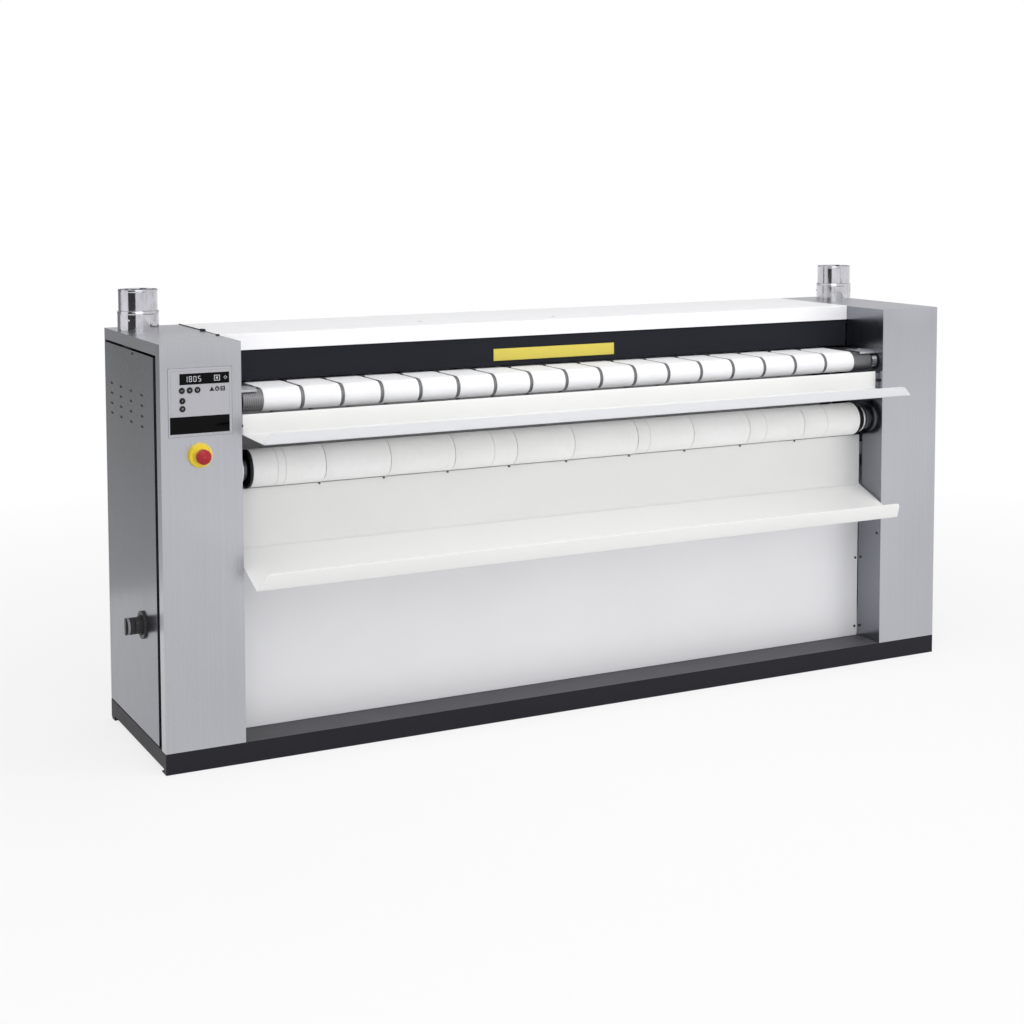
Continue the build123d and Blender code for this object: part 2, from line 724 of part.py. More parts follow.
# Feed trough: an upright panel, a nearly level floor and a low lip, one folded sheet.
trough_back = 24
trough_gap = 2  # the panel's upper edge below the front feed roller
trough_panel_top = feed_axis[1] - feed_radius - trough_gap
trough_panel = 54
trough_fall = 3.5
trough_lip_rise = 26.5
trough_bend = trough_panel_top - trough_panel
trough_floor = trough_bend - trough_fall
trough_lip_top = trough_floor + trough_lip_rise
trough_lip_lean = 9
trough_hem, trough_hem_drop = 5, 1
trough_fold = 2.2
trough_margin = 10
trough_mitre = 17
mitre_depth = 50  # of the cuts at the lips' ends
mitre_overrun = 5  # of the cuts past the sheet
trough_lip = sheet - trough_reach
with BuildPart() as feed_trough:
    folded_sheet(
        [
            (trough_back, trough_panel_top),
            (trough_back, trough_bend),
            (trough_lip, trough_floor),
            (trough_lip + trough_lip_lean, trough_lip_top),
            (trough_lip + trough_lip_lean + trough_hem, trough_lip_top - trough_hem_drop),
        ],
        trough_fold,
        across(trough_margin),
    )
    for side in sides.values():
        end, mitred = beyond(side, -trough_margin, -trough_margin - trough_mitre)
        with BuildSketch(Plane.XZ.offset(-face_y + trough_reach)):
            with BuildLine():
                Polyline(
                    (end, trough_floor),
                    (mitred, trough_lip_top + mitre_overrun),
                    (end + side, trough_lip_top + mitre_overrun),
                    (end + side, trough_floor),
                    close=True,
                )
            make_face()
        extrude(amount=-mitre_depth, mode=Mode.SUBTRACT)
feed_trough.part.label = "feed_trough"
export_step(feed_trough.part, "parts/feed_trough.step")

trough_bracket_width = 40
trough_bracket_inset = 6  # from the panel's upper and lower edges
with BuildPart() as trough_brackets:
    for side in sides.values():
        block(
            beyond(side, -trough_bracket_width, 0),
            depth(trough_back + sheet, trough_back + sheet + frame_wall),
            (trough_bend + trough_bracket_inset, trough_panel_top - trough_bracket_inset),
        )
trough_brackets.part.label = "trough_brackets"
export_step(trough_brackets.part, "parts/trough_brackets.step")

# Chute: the linen slides down it to a flared lip. One folded sheet, screwed to its beam.
chute_drop = 78
chute_lip_rise = 51
chute_corner = (-87, chute_bend - chute_drop)
chute_lip = (-119, chute_corner[1] + chute_lip_rise)
chute_fold = 6
chute_margin = 10
chute_mitre = 16
with BuildPart() as chute:
    folded_sheet(
        [(chute_depth, chute_top), (chute_depth, chute_bend), chute_corner, chute_lip],
        chute_fold,
        across(chute_margin),
    )
    for side in sides.values():
        end, mitred = beyond(side, -chute_margin, -chute_margin - chute_mitre)
        with BuildSketch(Plane.XZ.offset(-face_y - chute_lip[0] + mitre_overrun)):
            with BuildLine():
                Polyline(
                    (end, chute_corner[1] - sheet),
                    (mitred, chute_lip[1] + mitre_overrun),
                    (end + side, chute_lip[1] + mitre_overrun),
                    (end + side, chute_corner[1] - sheet),
                    close=True,
                )
            make_face()
        extrude(amount=-mitre_depth, mode=Mode.SUBTRACT)
chute.part.label = "chute"
export_step(chute.part, "parts/chute.step")

# Lower front panel, on the plinth and screwed to its beam.
front_panel_flange = 12
front_panel_fold = 2
front_panel_margin = 2
screw_head = 4
screw_shank = 2
screw_height = 2.5
panel_screw_heights = (88, 316)
panel_screw_inset = 11
with BuildPart() as lower_front_panel:
    folded_sheet(
        [
            (panel_depth, front_panel_top),
            (panel_depth, plinth_height),
            (panel_depth + front_panel_flange, plinth_height),
        ],
        front_panel_fold,
        across(front_panel_margin),
    )
    screw_hole = screw_shank + bearing_clearance
    for side in sides.values():
        screw_x = beyond(side, -panel_screw_inset, 0)[0]
        for screw_z in panel_screw_heights:
            stud(screw_x, screw_z, screw_hole, depth(panel_depth, panel_depth + sheet), mode=Mode.SUBTRACT)
lower_front_panel.part.label = "lower_front_panel"
export_step(lower_front_panel.part, "parts/lower_front_panel.step")

# Screws of the lower panel, of the trough's brackets and in the side plates.
wall_screws = ((20, 414), (103, 91))
trough_screw_inset = 5
trough_screw_rise = 25
trough_screw_height = trough_bend + trough_screw_rise
trough_screw_length = 9
with BuildPart() as cover_screws:
    for side in sides.values():
        screw_x = beyond(side, -panel_screw_inset, 0)[0]
        for screw_z in panel_screw_heights:
            stud(screw_x, screw_z, screw_head, depth(panel_depth - screw_height, panel_depth))
            stud(screw_x, screw_z, screw_shank, depth(panel_depth - screw_height, panel_depth + sheet))
        for screw_depth, screw_z in wall_screws:
            rod((face_y + screw_depth, screw_z), screw_head, beyond(side, -screw_height, 0))
        knob_y = trough_back + sheet
        stud(
            beyond(side, -trough_screw_inset, 0)[0],
            trough_screw_height,
            trough_screw_inset - belt_clearance,
            depth(knob_y - trough_screw_length, knob_y),
        )
cover_screws.part.label = "cover_screws"
export_step(cover_screws.part, "parts/cover_screws.step")

# Gear motor on the right side plate, its pulley and the belt up to the cylinder.
gearbox = 120
gearbox_corner = 12
gearbox_end = pulley_start - 4
motor_radius = 50
motor_length = 200
motor_neck, motor_neck_radius = 20, 42
shaft_radius = 12.5
shaft_socket = 30
with BuildPart() as gear_motor:
    gearbox_x = beyond(1, plate, gearbox_end)
    gearbox_z = (motor_axis[1] - gearbox / 2, motor_axis[1] + gearbox / 2)
    gearbox_y = (motor_axis[0] - gearbox / 2, motor_axis[0] + gearbox / 2)
    block(gearbox_x, gearbox_y, gearbox_z)
    fillet(gear_motor.edges().filter_by(Axis.X), radius=gearbox_corner)
    motor_x = beyond(1, plate + motor_radius + hole_clearance, 0)[0]
    post(motor_x, motor_axis[0], motor_neck_radius, (gearbox_z[0] - motor_neck, gearbox_z[0]))
    motor_z = (gearbox_z[0] - motor_neck - motor_length, gearbox_z[0] - motor_neck)
    post(motor_x, motor_axis[0], motor_radius, motor_z)
    socket_x = beyond(1, gearbox_end - shaft_socket, gearbox_end)
    rod(motor_axis, shaft_radius + bearing_clearance, socket_x, mode=Mode.SUBTRACT)
gear_motor.part.label = "gear_motor"
export_step(gear_motor.part, "parts/gear_motor.step")

with BuildPart() as motor_pulley:
    rod(motor_axis, motor_pulley_radius, beyond(1, *pulley_x))
    rod(motor_axis, shaft_radius, beyond(1, gearbox_end - shaft_socket + hole_clearance, pulley_x[0]))
motor_pulley.part.label = "motor_pulley"
export_step(motor_pulley.part, "parts/motor_pulley.step")

timing_x = (pulley_x[0] + timing_belt_margin, pulley_x[1] - timing_belt_margin)
with BuildPart() as drive_belt:
    belt(
        [(*motor_axis, motor_pulley_radius, 1), (*cylinder_axis, drive_pulley_radius, 1)],
        timing_belt_thickness,
        beyond(1, *timing_x),
    )
drive_belt.part.label = "drive_belt"
export_step(drive_belt.part, "parts/drive_belt.step")

with BuildPart() as feed_drive_belt:
    belt(
        [(*feed_axis, feed_roller_pulley_radius, 1), (*cylinder_axis, feed_pulley_radius, 1)],
        timing_belt_thickness,
        beyond(-1, *timing_x),
    )
feed_drive_belt.part.label = "feed_drive_belt"
export_step(feed_drive_belt.part, "parts/feed_drive_belt.step")

# Exhaust: a blower in each housing under a spigot and its sleeve.
fan_x = (housing_width - stub_inset - fan_width / 2, housing_width - stub_inset + fan_width / 2)
fan_motor_radius = 35
fan_shaft_radius = 4
fan_shaft_bore = 25
inlet_radius = 30
impeller_radius = 56
impeller_gap = 10
blade_count = 10
blade_thickness = 2
blade_depth = 22
wheel_back = 3
wheel_hub_radius, wheel_hub = 14, 20
with BuildPart() as fan_housings:
    for side in sides.values():
        neck = (spigot_x(side), fan_axis[0])
        inner_x = beyond(side, fan_x[0] + fan_wall, fan_x[1] - fan_wall)
        back_x = beyond(side, fan_x[0], fan_x[0] + fan_wall)
        inlet_x = beyond(side, fan_x[1] - fan_wall, fan_x[1])
        rod(fan_axis, fan_radius, beyond(side, *fan_x))
        post(*neck, neck_radius, (fan_axis[1], under_top))
        rod(fan_axis, fan_radius - fan_wall, inner_x, mode=Mode.SUBTRACT)
        post(*neck, neck_radius - fan_wall, (fan_axis[1], under_top), mode=Mode.SUBTRACT)
        rod(fan_axis, inlet_radius, inlet_x, mode=Mode.SUBTRACT)
        rod(fan_axis, fan_shaft_radius + hole_clearance, back_x, mode=Mode.SUBTRACT)
fan_housings.part.label = "fan_housings"
export_step(fan_housings.part, "parts/fan_housings.step")

with BuildPart() as fan_motors:
    for side in sides.values():
        rod(fan_axis, fan_motor_radius, beyond(side, plate, fan_x[0]))
        shaft_bore = fan_shaft_radius + bearing_clearance
        rod(fan_axis, shaft_bore, beyond(side, fan_x[0] - fan_shaft_bore, fan_x[0]), mode=Mode.SUBTRACT)
fan_motors.part.label = "fan_motors"
export_step(fan_motors.part, "parts/fan_motors.step")

for word, side in sides.items():
    wheel_start = fan_x[0] + fan_wall + impeller_gap
    wheel_end = fan_x[1] - fan_wall - impeller_gap
    shaft_start = fan_x[0] - fan_shaft_bore + hole_clearance
    with BuildPart() as impeller:
        rod(fan_axis, impeller_radius, beyond(side, wheel_start, wheel_start + wheel_back))
        rod(fan_axis, wheel_hub_radius, beyond(side, wheel_start, wheel_start + wheel_hub))
        rod(fan_axis, fan_shaft_radius, beyond(side, shaft_start, wheel_start + wheel_hub))
        blade_x = beyond(side, wheel_start + wheel_back, wheel_end)
        with BuildSketch(Plane.YZ.offset(min(blade_x))):
            with Locations(fan_axis):
                with PolarLocations(impeller_radius - blade_depth / 2, blade_count):
                    Rectangle(blade_depth, blade_thickness)
        extrude(amount=span(blade_x))
    impeller.part.label = f"{word}_impeller"
    export_step(impeller.part, f"parts/{word}_impeller.step")

with BuildPart() as exhaust_tubes:
    for side in sides.values():
        spigot = (spigot_x(side), fan_axis[0])
        crimped = stub_radius - stub_crimp
        post(*spigot, stub_radius, (sleeve_top, stub_top))
        post(*spigot, crimped, (housing_top, sleeve_top))
        post(*spigot, crimped - stub_wall, (housing_top, stub_top), mode=Mode.SUBTRACT)
exhaust_tubes.part.label = "exhaust_tubes"
export_step(exhaust_tubes.part, "parts/exhaust_tubes.step")

with BuildPart() as exhaust_sleeves:
    for side in sides.values():
        spigot = (spigot_x(side), fan_axis[0])
        post(*spigot, stub_radius + sleeve_wall, (housing_top, sleeve_top))
        sleeve_bore = stub_radius - stub_crimp + bearing_clearance
        post(*spigot, sleeve_bore, (housing_top, sleeve_top), mode=Mode.SUBTRACT)
exhaust_sleeves.part.label = "exhaust_sleeves"
export_step(exhaust_sleeves.part, "parts/exhaust_sleeves.step")

# Control panel: a thin plate with a display window and round keys.
panel_y = depth(-panel_plate, 0)
with BuildPart() as control_panel:
    block((from_left(panel_left), from_left(panel_right)), panel_y, (panel_low, panel_high))
    fillet(control_panel.edges().filter_by(Axis.Y), radius=panel_corner)
    for place_x, place_z in keys.values():
        stud(from_left(place_x), place_z, key_radius + key_clearance, panel_y, mode=Mode.SUBTRACT)
control_panel.part.label = "control_panel"
export_step(control_panel.part, "parts/control_panel.step")

display_x, display_z = (52, 186), (1032, 1061)
display_thickness = 0.6
with BuildPart() as display_window:
    block(
        (from_left(display_x[0]), from_left(display_x[1])),
        depth(-panel_plate - display_thickness, -panel_plate),
        display_z,
    )
display_window.part.label = "display_window"
export_step(display_window.part, "parts/display_window.step")

key_front = -panel_plate - key_stand
for name, (place_x, place_z) in keys.items():
    with BuildPart() as key:
        stud(from_left(place_x), place_z, key_radius, depth(key_front, key_front + key_length))
        fillet(key.faces().sort_by(Axis.Y)[0].edges(), radius=key_edge)
    key.part.label = name
    export_step(key.part, f"parts/{name}.step")

# Emergency stop: a yellow base with a red mushroom button that travels 4 mm.
base_radius = 33.5
base_height = 12
base_slope = 3
collar_radius = 22
collar_height = 20
collar_slope = 2
estop_stem = 8
estop_depth = 25
stem_gap = 8  # from the stem's end to the shank's, more than the travel
head_radius = 20
head_back = 25
head_front = 45
head_edge = 3
head_bevel = 5
head_dome = 7
estop_x, estop_z = from_left(estop_place[0]), estop_place[1]
estop_plane = Plane((estop_x, 0, estop_z), x_dir=(1, 0, 0), z_dir=(0, 0, 1))
with BuildPart() as estop_base:
    with BuildSketch(estop_plane):
        with BuildLine():
            Polyline(
                (estop_stem + bearing_clearance, face_y + estop_depth),
                (estop_shank, face_y + estop_depth),
                (estop_shank, face_y),
                (base_radius, face_y),
                (base_radius - base_slope, face_y - base_height),
                (collar_radius, face_y - base_height),
                (collar_radius - collar_slope, face_y - collar_height),
                (estop_stem + bearing_clearance, face_y - collar_height),
                close=True,
            )
        make_face()
    revolve(axis=Axis((estop_x, 0, estop_z), (0, 1, 0)))
estop_base.part.label = "estop_base"
export_step(estop_base.part, "parts/estop_base.step")

with BuildPart() as estop_button:
    with BuildSketch(estop_plane):
        with BuildLine():
            stem_end = face_y + estop_depth - stem_gap
            rim = face_y - head_front + head_dome
            dome_radius = (head_radius**2 + head_dome**2) / (2 * head_dome)
            half_turn = math.asin(head_radius / dome_radius) / 2
            Polyline(
                (0, face_y - head_front),
                (0, stem_end),
                (estop_stem, stem_end),
                (estop_stem, face_y - head_back),
                (head_radius - head_edge, face_y - head_back),
                (head_radius, face_y - head_back - head_bevel),
                (head_radius, rim),
            )
            ThreePointArc(
                (head_radius, rim),
                (
                    dome_radius * math.sin(half_turn),
                    face_y - head_front + dome_radius * (1 - math.cos(half_turn)),
                ),
                (0, face_y - head_front),
            )
        make_face()
    revolve(axis=Axis((estop_x, 0, estop_z), (0, 1, 0)))
estop_button.part.label = "estop_button"
export_step(estop_button.part, "parts/estop_button.step")

# Main switch: a flange on the left cover, and a handle on a spindle to the isolator inside.
switch_flange_radius = 38
switch_flange = 6
switch_collar_radius = 27
switch_collar = 12
handle_radius = 23
handle_gap = 0.5
grip_start = 24
grip_width = 13
isolator_front = 70
isolator_size = 60
spindle_socket = 18
handle_x = (housing_width + switch_collar + handle_gap, housing_width + switch_reach)
with BuildPart() as main_switch_base:
    collar_x = beyond(-1, housing_width, housing_width + switch_collar)
    rod(switch_axis, switch_flange_radius, beyond(-1, housing_width, housing_width + switch_flange))
    rod(switch_axis, switch_collar_radius, collar_x)
    rod(switch_axis, spindle_radius + hole_clearance, collar_x, mode=Mode.SUBTRACT)
main_switch_base.part.label = "main_switch_base"
export_step(main_switch_base.part, "parts/main_switch_base.step")

with BuildPart() as main_switch_handle:
    rod(switch_axis, handle_radius, beyond(-1, *handle_x))
    for direction in (-1, 1):
        block(
            beyond(-1, housing_width + grip_start, housing_width + switch_reach),
            (switch_axis[0] + direction * grip_width / 2, switch_axis[0] + direction * handle_radius),
            (switch_axis[1] - handle_radius, switch_axis[1] + handle_radius),
            mode=Mode.SUBTRACT,
        )
    spindle_end = isolator_front - spindle_socket + hole_clearance
    rod(switch_axis, spindle_radius, beyond(-1, spindle_end, handle_x[0]))
main_switch_handle.part.label = "main_switch_handle"
export_step(main_switch_handle.part, "parts/main_switch_handle.step")

# Electrical panel on the left side plate, with the devices on it.
backplate = 2
backplate_depth = (110, 480)
backplate_height = (200, 700)
with BuildPart() as electrical_panel:
    block(beyond(-1, plate, plate + backplate), depth(*backplate_depth), backplate_height)
electrical_panel.part.label = "electrical_panel"
export_step(electrical_panel.part, "parts/electrical_panel.step")

device_start = plate + backplate
with BuildPart() as main_isolator:
    half = isolator_size / 2
    block(
        beyond(-1, device_start, isolator_front),
        (switch_axis[0] - half, switch_axis[0] + half),
        (switch_axis[1] - half, switch_axis[1] + half),
    )
    rod(
        switch_axis,
        spindle_radius + bearing_clearance,
        beyond(-1, isolator_front - spindle_socket, isolator_front),
        mode=Mode.SUBTRACT,
    )
main_isolator.part.label = "main_isolator"
export_step(main_isolator.part, "parts/main_isolator.step")

contactor_size = (80, 45, 85)
contactor_pitch = 60
contactor_count = 4
contactor_start, contactor_bottom = 160, 560
board_height = (430, 530)
board_depth = (270, 440)
board_thickness = 12
terminal_depth, terminal_height = (150, 420), (230, 275)
terminal_thickness = 40
limit_switch = (36, 24, 24)
limit_switch_gap = 16  # in front of the guard's pin
stop_contacts = (30, 30, 30)
with BuildPart() as electrical_devices:
    for index in range(contactor_count):
        start = contactor_start + index * contactor_pitch
        block(
            beyond(-1, device_start, device_start + contactor_size[0]),
            depth(start, start + contactor_size[1]),
            (contactor_bottom, contactor_bottom + contactor_size[2]),
        )
    block(beyond(-1, device_start, device_start + board_thickness), depth(*board_depth), board_height)
    terminal_x = beyond(-1, device_start, device_start + terminal_thickness)
    block(terminal_x, depth(*terminal_depth), terminal_height)
    limit_back = guard_hinge[0] - limit_switch_gap
    block(
        beyond(-1, plate, plate + limit_switch[0]),
        (limit_back - limit_switch[1], limit_back),
        (guard_hinge[1] - limit_switch[2] / 2, guard_hinge[1] + limit_switch[2] / 2),
    )
    block(
        (estop_x - stop_contacts[0] / 2, estop_x + stop_contacts[0] / 2),
        depth(estop_depth, estop_depth + stop_contacts[1]),
        (estop_z - stop_contacts[2] / 2, estop_z + stop_contacts[2] / 2),
    )
electrical_devices.part.label = "electrical_devices"
export_step(electrical_devices.part, "parts/electrical_devices.step")
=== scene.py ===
import json
import math

import bmesh
import bpy
from mathutils import Matrix, Vector, noise


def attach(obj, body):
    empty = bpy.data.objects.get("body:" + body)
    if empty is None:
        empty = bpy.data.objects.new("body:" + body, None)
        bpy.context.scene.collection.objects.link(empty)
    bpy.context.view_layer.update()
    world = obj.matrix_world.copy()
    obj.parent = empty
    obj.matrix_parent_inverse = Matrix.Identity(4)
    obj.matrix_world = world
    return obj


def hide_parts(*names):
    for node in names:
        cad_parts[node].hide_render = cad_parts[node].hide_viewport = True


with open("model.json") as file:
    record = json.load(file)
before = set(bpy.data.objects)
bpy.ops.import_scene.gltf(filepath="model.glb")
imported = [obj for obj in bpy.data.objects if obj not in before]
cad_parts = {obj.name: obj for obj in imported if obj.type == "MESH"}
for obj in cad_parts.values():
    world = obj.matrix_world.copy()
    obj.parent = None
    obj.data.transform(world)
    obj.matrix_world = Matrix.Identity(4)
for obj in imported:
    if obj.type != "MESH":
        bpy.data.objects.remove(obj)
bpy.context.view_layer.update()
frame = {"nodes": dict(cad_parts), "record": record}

scene = bpy.context.scene
ops = bmesh.ops
mm = 0.001
print("frame loaded:", len(frame["nodes"]), "nodes")


# the photograph's view: metres, degrees and the lens's millimetres
viewpoint = {
    "place": (-2.5306, -4.662, 1.5958),
    "heading": 27.208,
    "tilt": 4.2,
    "roll": -0.124,
    "lens": 62.086,
    "sensor": 36,
    "shift": -0.21,
    "farthest": 60,
}


def turned(degrees, axis):
    return Matrix.Rotation(math.radians(degrees), 4, axis)


def setCamera():
    lens = bpy.data.cameras.new("photoCamera")
    camera = bpy.data.objects.new("photoCamera", lens)
    scene.collection.objects.link(camera)
    lens.lens = viewpoint["lens"]
    lens.sensor_width = viewpoint["sensor"]
    lens.shift_y = viewpoint["shift"]
    lens.clip_end = viewpoint["farthest"]
    turn = turned(-viewpoint["heading"], "Z") @ turned(90 - viewpoint["tilt"], "X")
    camera.matrix_world = Matrix.Translation(viewpoint["place"]) @ turn @ turned(viewpoint["roll"], "Z")
    scene.camera = camera


setCamera()
print("camera set")


class Value:
    # wraps one socket, so that shader maths reads as plain expressions
    def __init__(self, wiring, socket):
        self.wiring = wiring
        self.socket = socket

    def maths(self, operation, *others):
        return self.wiring.node("Math", {"operation": operation}, dict(enumerate((self, *others))))

    def __add__(self, other):
        return self.maths("ADD", other)

    def __sub__(self, other):
        return self.maths("SUBTRACT", other)

    def __rsub__(self, other):
        return self.wiring.node("Math", {"operation": "SUBTRACT"}, {0: other, 1: self})

    def __mul__(self, other):
        return self.maths("MULTIPLY", other)

    def __abs__(self):
        return self.maths("ABSOLUTE")

    __radd__ = __add__
    __rmul__ = __mul__


class Wiring:
    # the nodes of a material or of the world, added one by one
    def __init__(self, owner, ending):
        owner.use_nodes = True
        self.tree = owner.node_tree
        self.tree.nodes.clear()
        self.output = self.tree.nodes.new("ShaderNodeOutput" + ending)

    def node(self, kind, settings=None, inputs=None, output=0):
        made = self.tree.nodes.new("ShaderNode" + kind)
        settings = dict(settings or {})
        stops = settings.pop("stops", None)
        for key, value in settings.items():
            setattr(made, key, value)
        if stops:
            ramp = made.color_ramp
            while len(ramp.elements) < len(stops):
                ramp.elements.new(1.0)
            for element, (position, colour) in zip(ramp.elements, stops):
                element.position = position
                element.color = colour
        for key, value in (inputs or {}).items():
            self.feed(made.inputs[key], value)
        return Value(self, made.outputs[output])

    def feed(self, socket, value):
        if isinstance(value, Value):
            self.tree.links.new(value.socket, socket)
        else:
            socket.default_value = value

    def show(self, value):
        self.feed(self.output.inputs[0], value)

    def level(self, value, low, high, bottom=0.0, top=1.0):
        # value from low..high brought to bottom..top and held there
        facts = {"Value": value, 1: low, 2: high, 3: bottom, 4: top}
        return self.node("MapRange", {"clamp": True}, facts)

    def glow(self, strength):
        return self.node("Emission", inputs={"Color": (1, 1, 1, 1), "Strength": strength})

    def backdropRays(self):
        # 1 for the camera's rays and for those that metal and glass send on
        seen = self.node("LightPath", output="Is Camera Ray")
        for ray in ("Is Glossy Ray", "Is Transmission Ray"):
            seen = seen.maths("MAXIMUM", self.node("LightPath", output=ray))
        return seen


class Look(Wiring):
    # a material round its Principled shader, with patterns that lie in the piece's own space
    def __init__(self, name, **constants):
        self.material = bpy.data.materials.new(name)
        super().__init__(self.material, "Material")
        self.shader = self.tree.nodes.new("ShaderNodeBsdfPrincipled")
        self.show(Value(self, self.shader.outputs[0]))
        self.place = self.node("TexCoord", output="Object")
        self.facing = self.node("TexCoord", output="Normal")
        for key, value in constants.items():
            self.shader.inputs[key.replace("_", " ")].default_value = value

    def paint(self, colour, roughness, height, distance, strength):
        # height is the pattern of the relief, distance its depth in metres
        facts = {"Height": height, "Distance": distance, "Strength": strength}
        bump = self.node("Bump", inputs=facts)
        for key, value in (("Base Color", colour), ("Roughness", roughness), ("Normal", bump)):
            self.feed(self.shader.inputs[key], value)
        return self

    def axis(self, index, source=None):
        return self.node("SeparateXYZ", inputs={0: source or self.place}, output=index)

    def cells(self, size):
        # the place counted in cells: size in metres along X, Y and Z, or one number for all three
        size = size if isinstance(size, tuple) else (size,) * 3
        return self.node("Mapping", inputs={"Vector": self.place, "Scale": [1 / s for s in size]})

    def grains(self, size, detail, roughness=0.55, distortion=0.0):
        facts = {"Vector": self.cells(size), "Scale": 1.0, "Detail": detail, "Roughness": roughness}
        return self.node("TexNoise", inputs={**facts, "Distortion": distortion}, output="Fac")

    def wave(self, value, length):
        # rises and falls once over each length in metres
        return (value * (math.tau / length)).maths("SINE")

    def mixed(self, factor, first, second, blend="MIX"):
        settings = {"data_type": "RGBA", "blend_type": blend}
        return self.node("Mix", settings, {0: factor, 6: first, 7: second}, 2)

    def veil(self, body, colour, pattern, low, high, most=1.0):
        # lays colour over body as the pattern goes from low to high
        return self.mixed(self.level(pattern, low, high, 0.0, most), body, colour)

    def ramp(self, value, *stops):
        return self.node("ValToRGB", {"stops": stops}, {0: value})

    def worn(self):
        # 1 on convex edges of larger forms, from the mesh's own corners
        return self.level(self.node("NewGeometry", output="Pointiness"), 0.505, 0.56)


def tone(red, green, blue):
    # an 8-bit screen colour as the linear colour the shaders want
    return tuple((c / 255) ** 2.2 for c in (red, green, blue)) + (1.0,)


def shaded(colour, factor):
    return tuple(c * factor for c in colour[:3]) + (1.0,)


def brushed(name, colour, rough, along="Z", spread=0.08, fade=None, bands=None):
    # rolled stainless sheet with a linear grain, soft blotches and faint handling marks;
    # fade is a painted shade near the floor, a darker, bluer tone towards the bottom; bands gives heights
    # in metres and how light the steel is painted there, painted light and shade by height
    look = Look(name, Metallic=1.0)
    long, fine = 0.22, 0.0011
    size = (long, fine, fine) if along == "X" else (fine, fine, long)
    grain = look.grains(size, 3, 0.7)
    level = look.grains((fine, long, 0.02), 3, 0.7)
    upright = look.level(abs(look.axis(2, look.facing)), 0.6, 0.9)
    grain = grain + (level - grain) * upright
    wide = look.grains(tuple(max(s * 5, 0.006) for s in size), 2, 0.6)
    cloud = look.grains((0.35, 0.35, 0.5), 2, 0.5)
    marks = look.grains((0.05, 0.05, 0.09), 5, 0.7, 0.4)
    streak = (grain - 0.5) * 1.4 + (wide - 0.5) * 1.6
    shade = streak * spread * 2 + (cloud - 0.5) * spread * 6 + 0.5
    body = look.mixed(shade, shaded(colour, 0.80), shaded(colour, 1.20))
    if fade:
        # painted shade: the steel darker and bluer towards the floor
        height = look.level(look.axis(2), 0.1, 1.1, 0.0, 1.0)
        body = look.mixed(height, fade, body)
    # painted light and shade: the steel lighter at some heights and darker at others
    if bands:
        low, high = bands[0][0], bands[-1][0]
        stops = [((place - low) / (high - low), (light, light, light, 1.0)) for place, light in bands]
        height = look.level(look.axis(2) + (cloud - 0.5) * 0.3, low, high)
        body = look.mixed(1.0, body, look.ramp(height, *stops), "MULTIPLY")
    return look.paint(body, rough + (grain - 0.5) * 0.16 + (marks - 0.5) * 0.10, grain, 0.00004, 0.4)


def coated(name, colour, rough, peel=0.0016, shine=0.5, handled=None, dust=None):
    # stoved powder coat: orange peel, a slight uneven tone and rubbed edges;
    # handled gives a depth in metres and the painted tone in front of it, painted shade on the trough's lip
    # and painted light on the chute's shelf and lip, dust the tone of upward faces
    look = Look(name, Specular_IOR_Level=shine)
    skin = look.grains(peel, 2, 0.5)
    cloud = look.grains((0.34, 0.3, 0.26), 3, 0.5)
    speck = look.grains(0.004, 4, 0.6)
    body = look.veil(colour, shaded(colour, 0.94), cloud, 0.3, 0.75)
    body = look.veil(body, shaded(colour, 0.72), speck, 0.66, 0.80, 0.25)
    body = look.mixed(look.worn() * 0.35, body, shaded(colour, 1.12 if colour[0] > 0.3 else 1.9))
    # painted light and shade: a different tone in front of the given depth, which front holds
    if handled:
        reach = look.axis(1) + (cloud - 0.5) * 0.004
        depth, front = handled
        body = look.mixed(look.level(reach, depth, depth + 0.004, 1.0, 0.0), body, front)
    if dust:
        upward = look.level(look.axis(2, look.facing), 0.5, 0.9)
        body = look.mixed(upward * look.level(cloud, 0.2, 0.6, 0.7, 1.0), body, dust)
    return look.paint(body, rough + (cloud - 0.5) * 0.14 + (skin - 0.5) * 0.10, skin, 0.00005, 0.35)


def zincCoated(name, colour, rough=0.36, spangle=0.013, relief=0.00005):
    # hot-dip galvanised sheet: crystal facets, each with its own tone and gloss
    look = Look(name, Metallic=1.0)
    crystals = {"Vector": look.cells(spangle), "Scale": 1.0}
    facet = look.axis(0, look.node("TexVoronoi", inputs=crystals, output="Color"))
    frost = look.grains(0.003, 4, 0.65)
    cloud = look.grains((0.08, 0.08, 0.12), 3)
    runs = look.grains((0.004, 0.004, 0.09), 3, 0.6)
    shade = (facet - 0.5) * 0.35 + (cloud - 0.5) * 1.2 + (runs - 0.5) * 1.1 + 0.5
    body = look.mixed(shade, shaded(colour, 0.74), shaded(colour, 1.16))
    return look.paint(
        body, rough + (facet - 0.5) * 0.06 + (frost - 0.5) * 0.08, frost + facet * 0.2, relief, 0.3
    )


def turnedMetal(name, colour, rough, pitch=0.0011, deep=0.00003, stain=0.10, groove=0.0):
    # metal turned or ground round an axis along X: fine rings, film and stains, and with groove, painted
    # shade in the bottoms of the grooves
    look = Look(name, Metallic=1.0)
    rings = look.grains((pitch, 0.6, 0.6), 3, 0.65)
    film = look.grains((0.09, 0.05, 0.05), 4, 0.6, 0.3)
    pits = look.grains(0.004, 3, 0.6)
    shade = (rings - 0.5) * 0.5 + (film - 0.5) * 0.8 + 0.5
    body = look.mixed(shade, shaded(colour, 1 - stain), shaded(colour, 1 + stain))
    body = look.veil(body, shaded(colour, 0.45), pits, 0.68, 0.82, 0.4)
    height = rings * deep * 1000
    if groove:
        wave = look.wave(look.axis(0), groove)
        # painted shade in the groove bottoms
        body = look.veil(body, shaded(colour, 0.35), wave, -0.2, -0.9, 0.7)
        height = height + wave * 0.25
    return look.paint(body, rough + (rings - 0.5) * 0.14 + (film - 0.5) * 0.18, height, 0.001, 0.7)


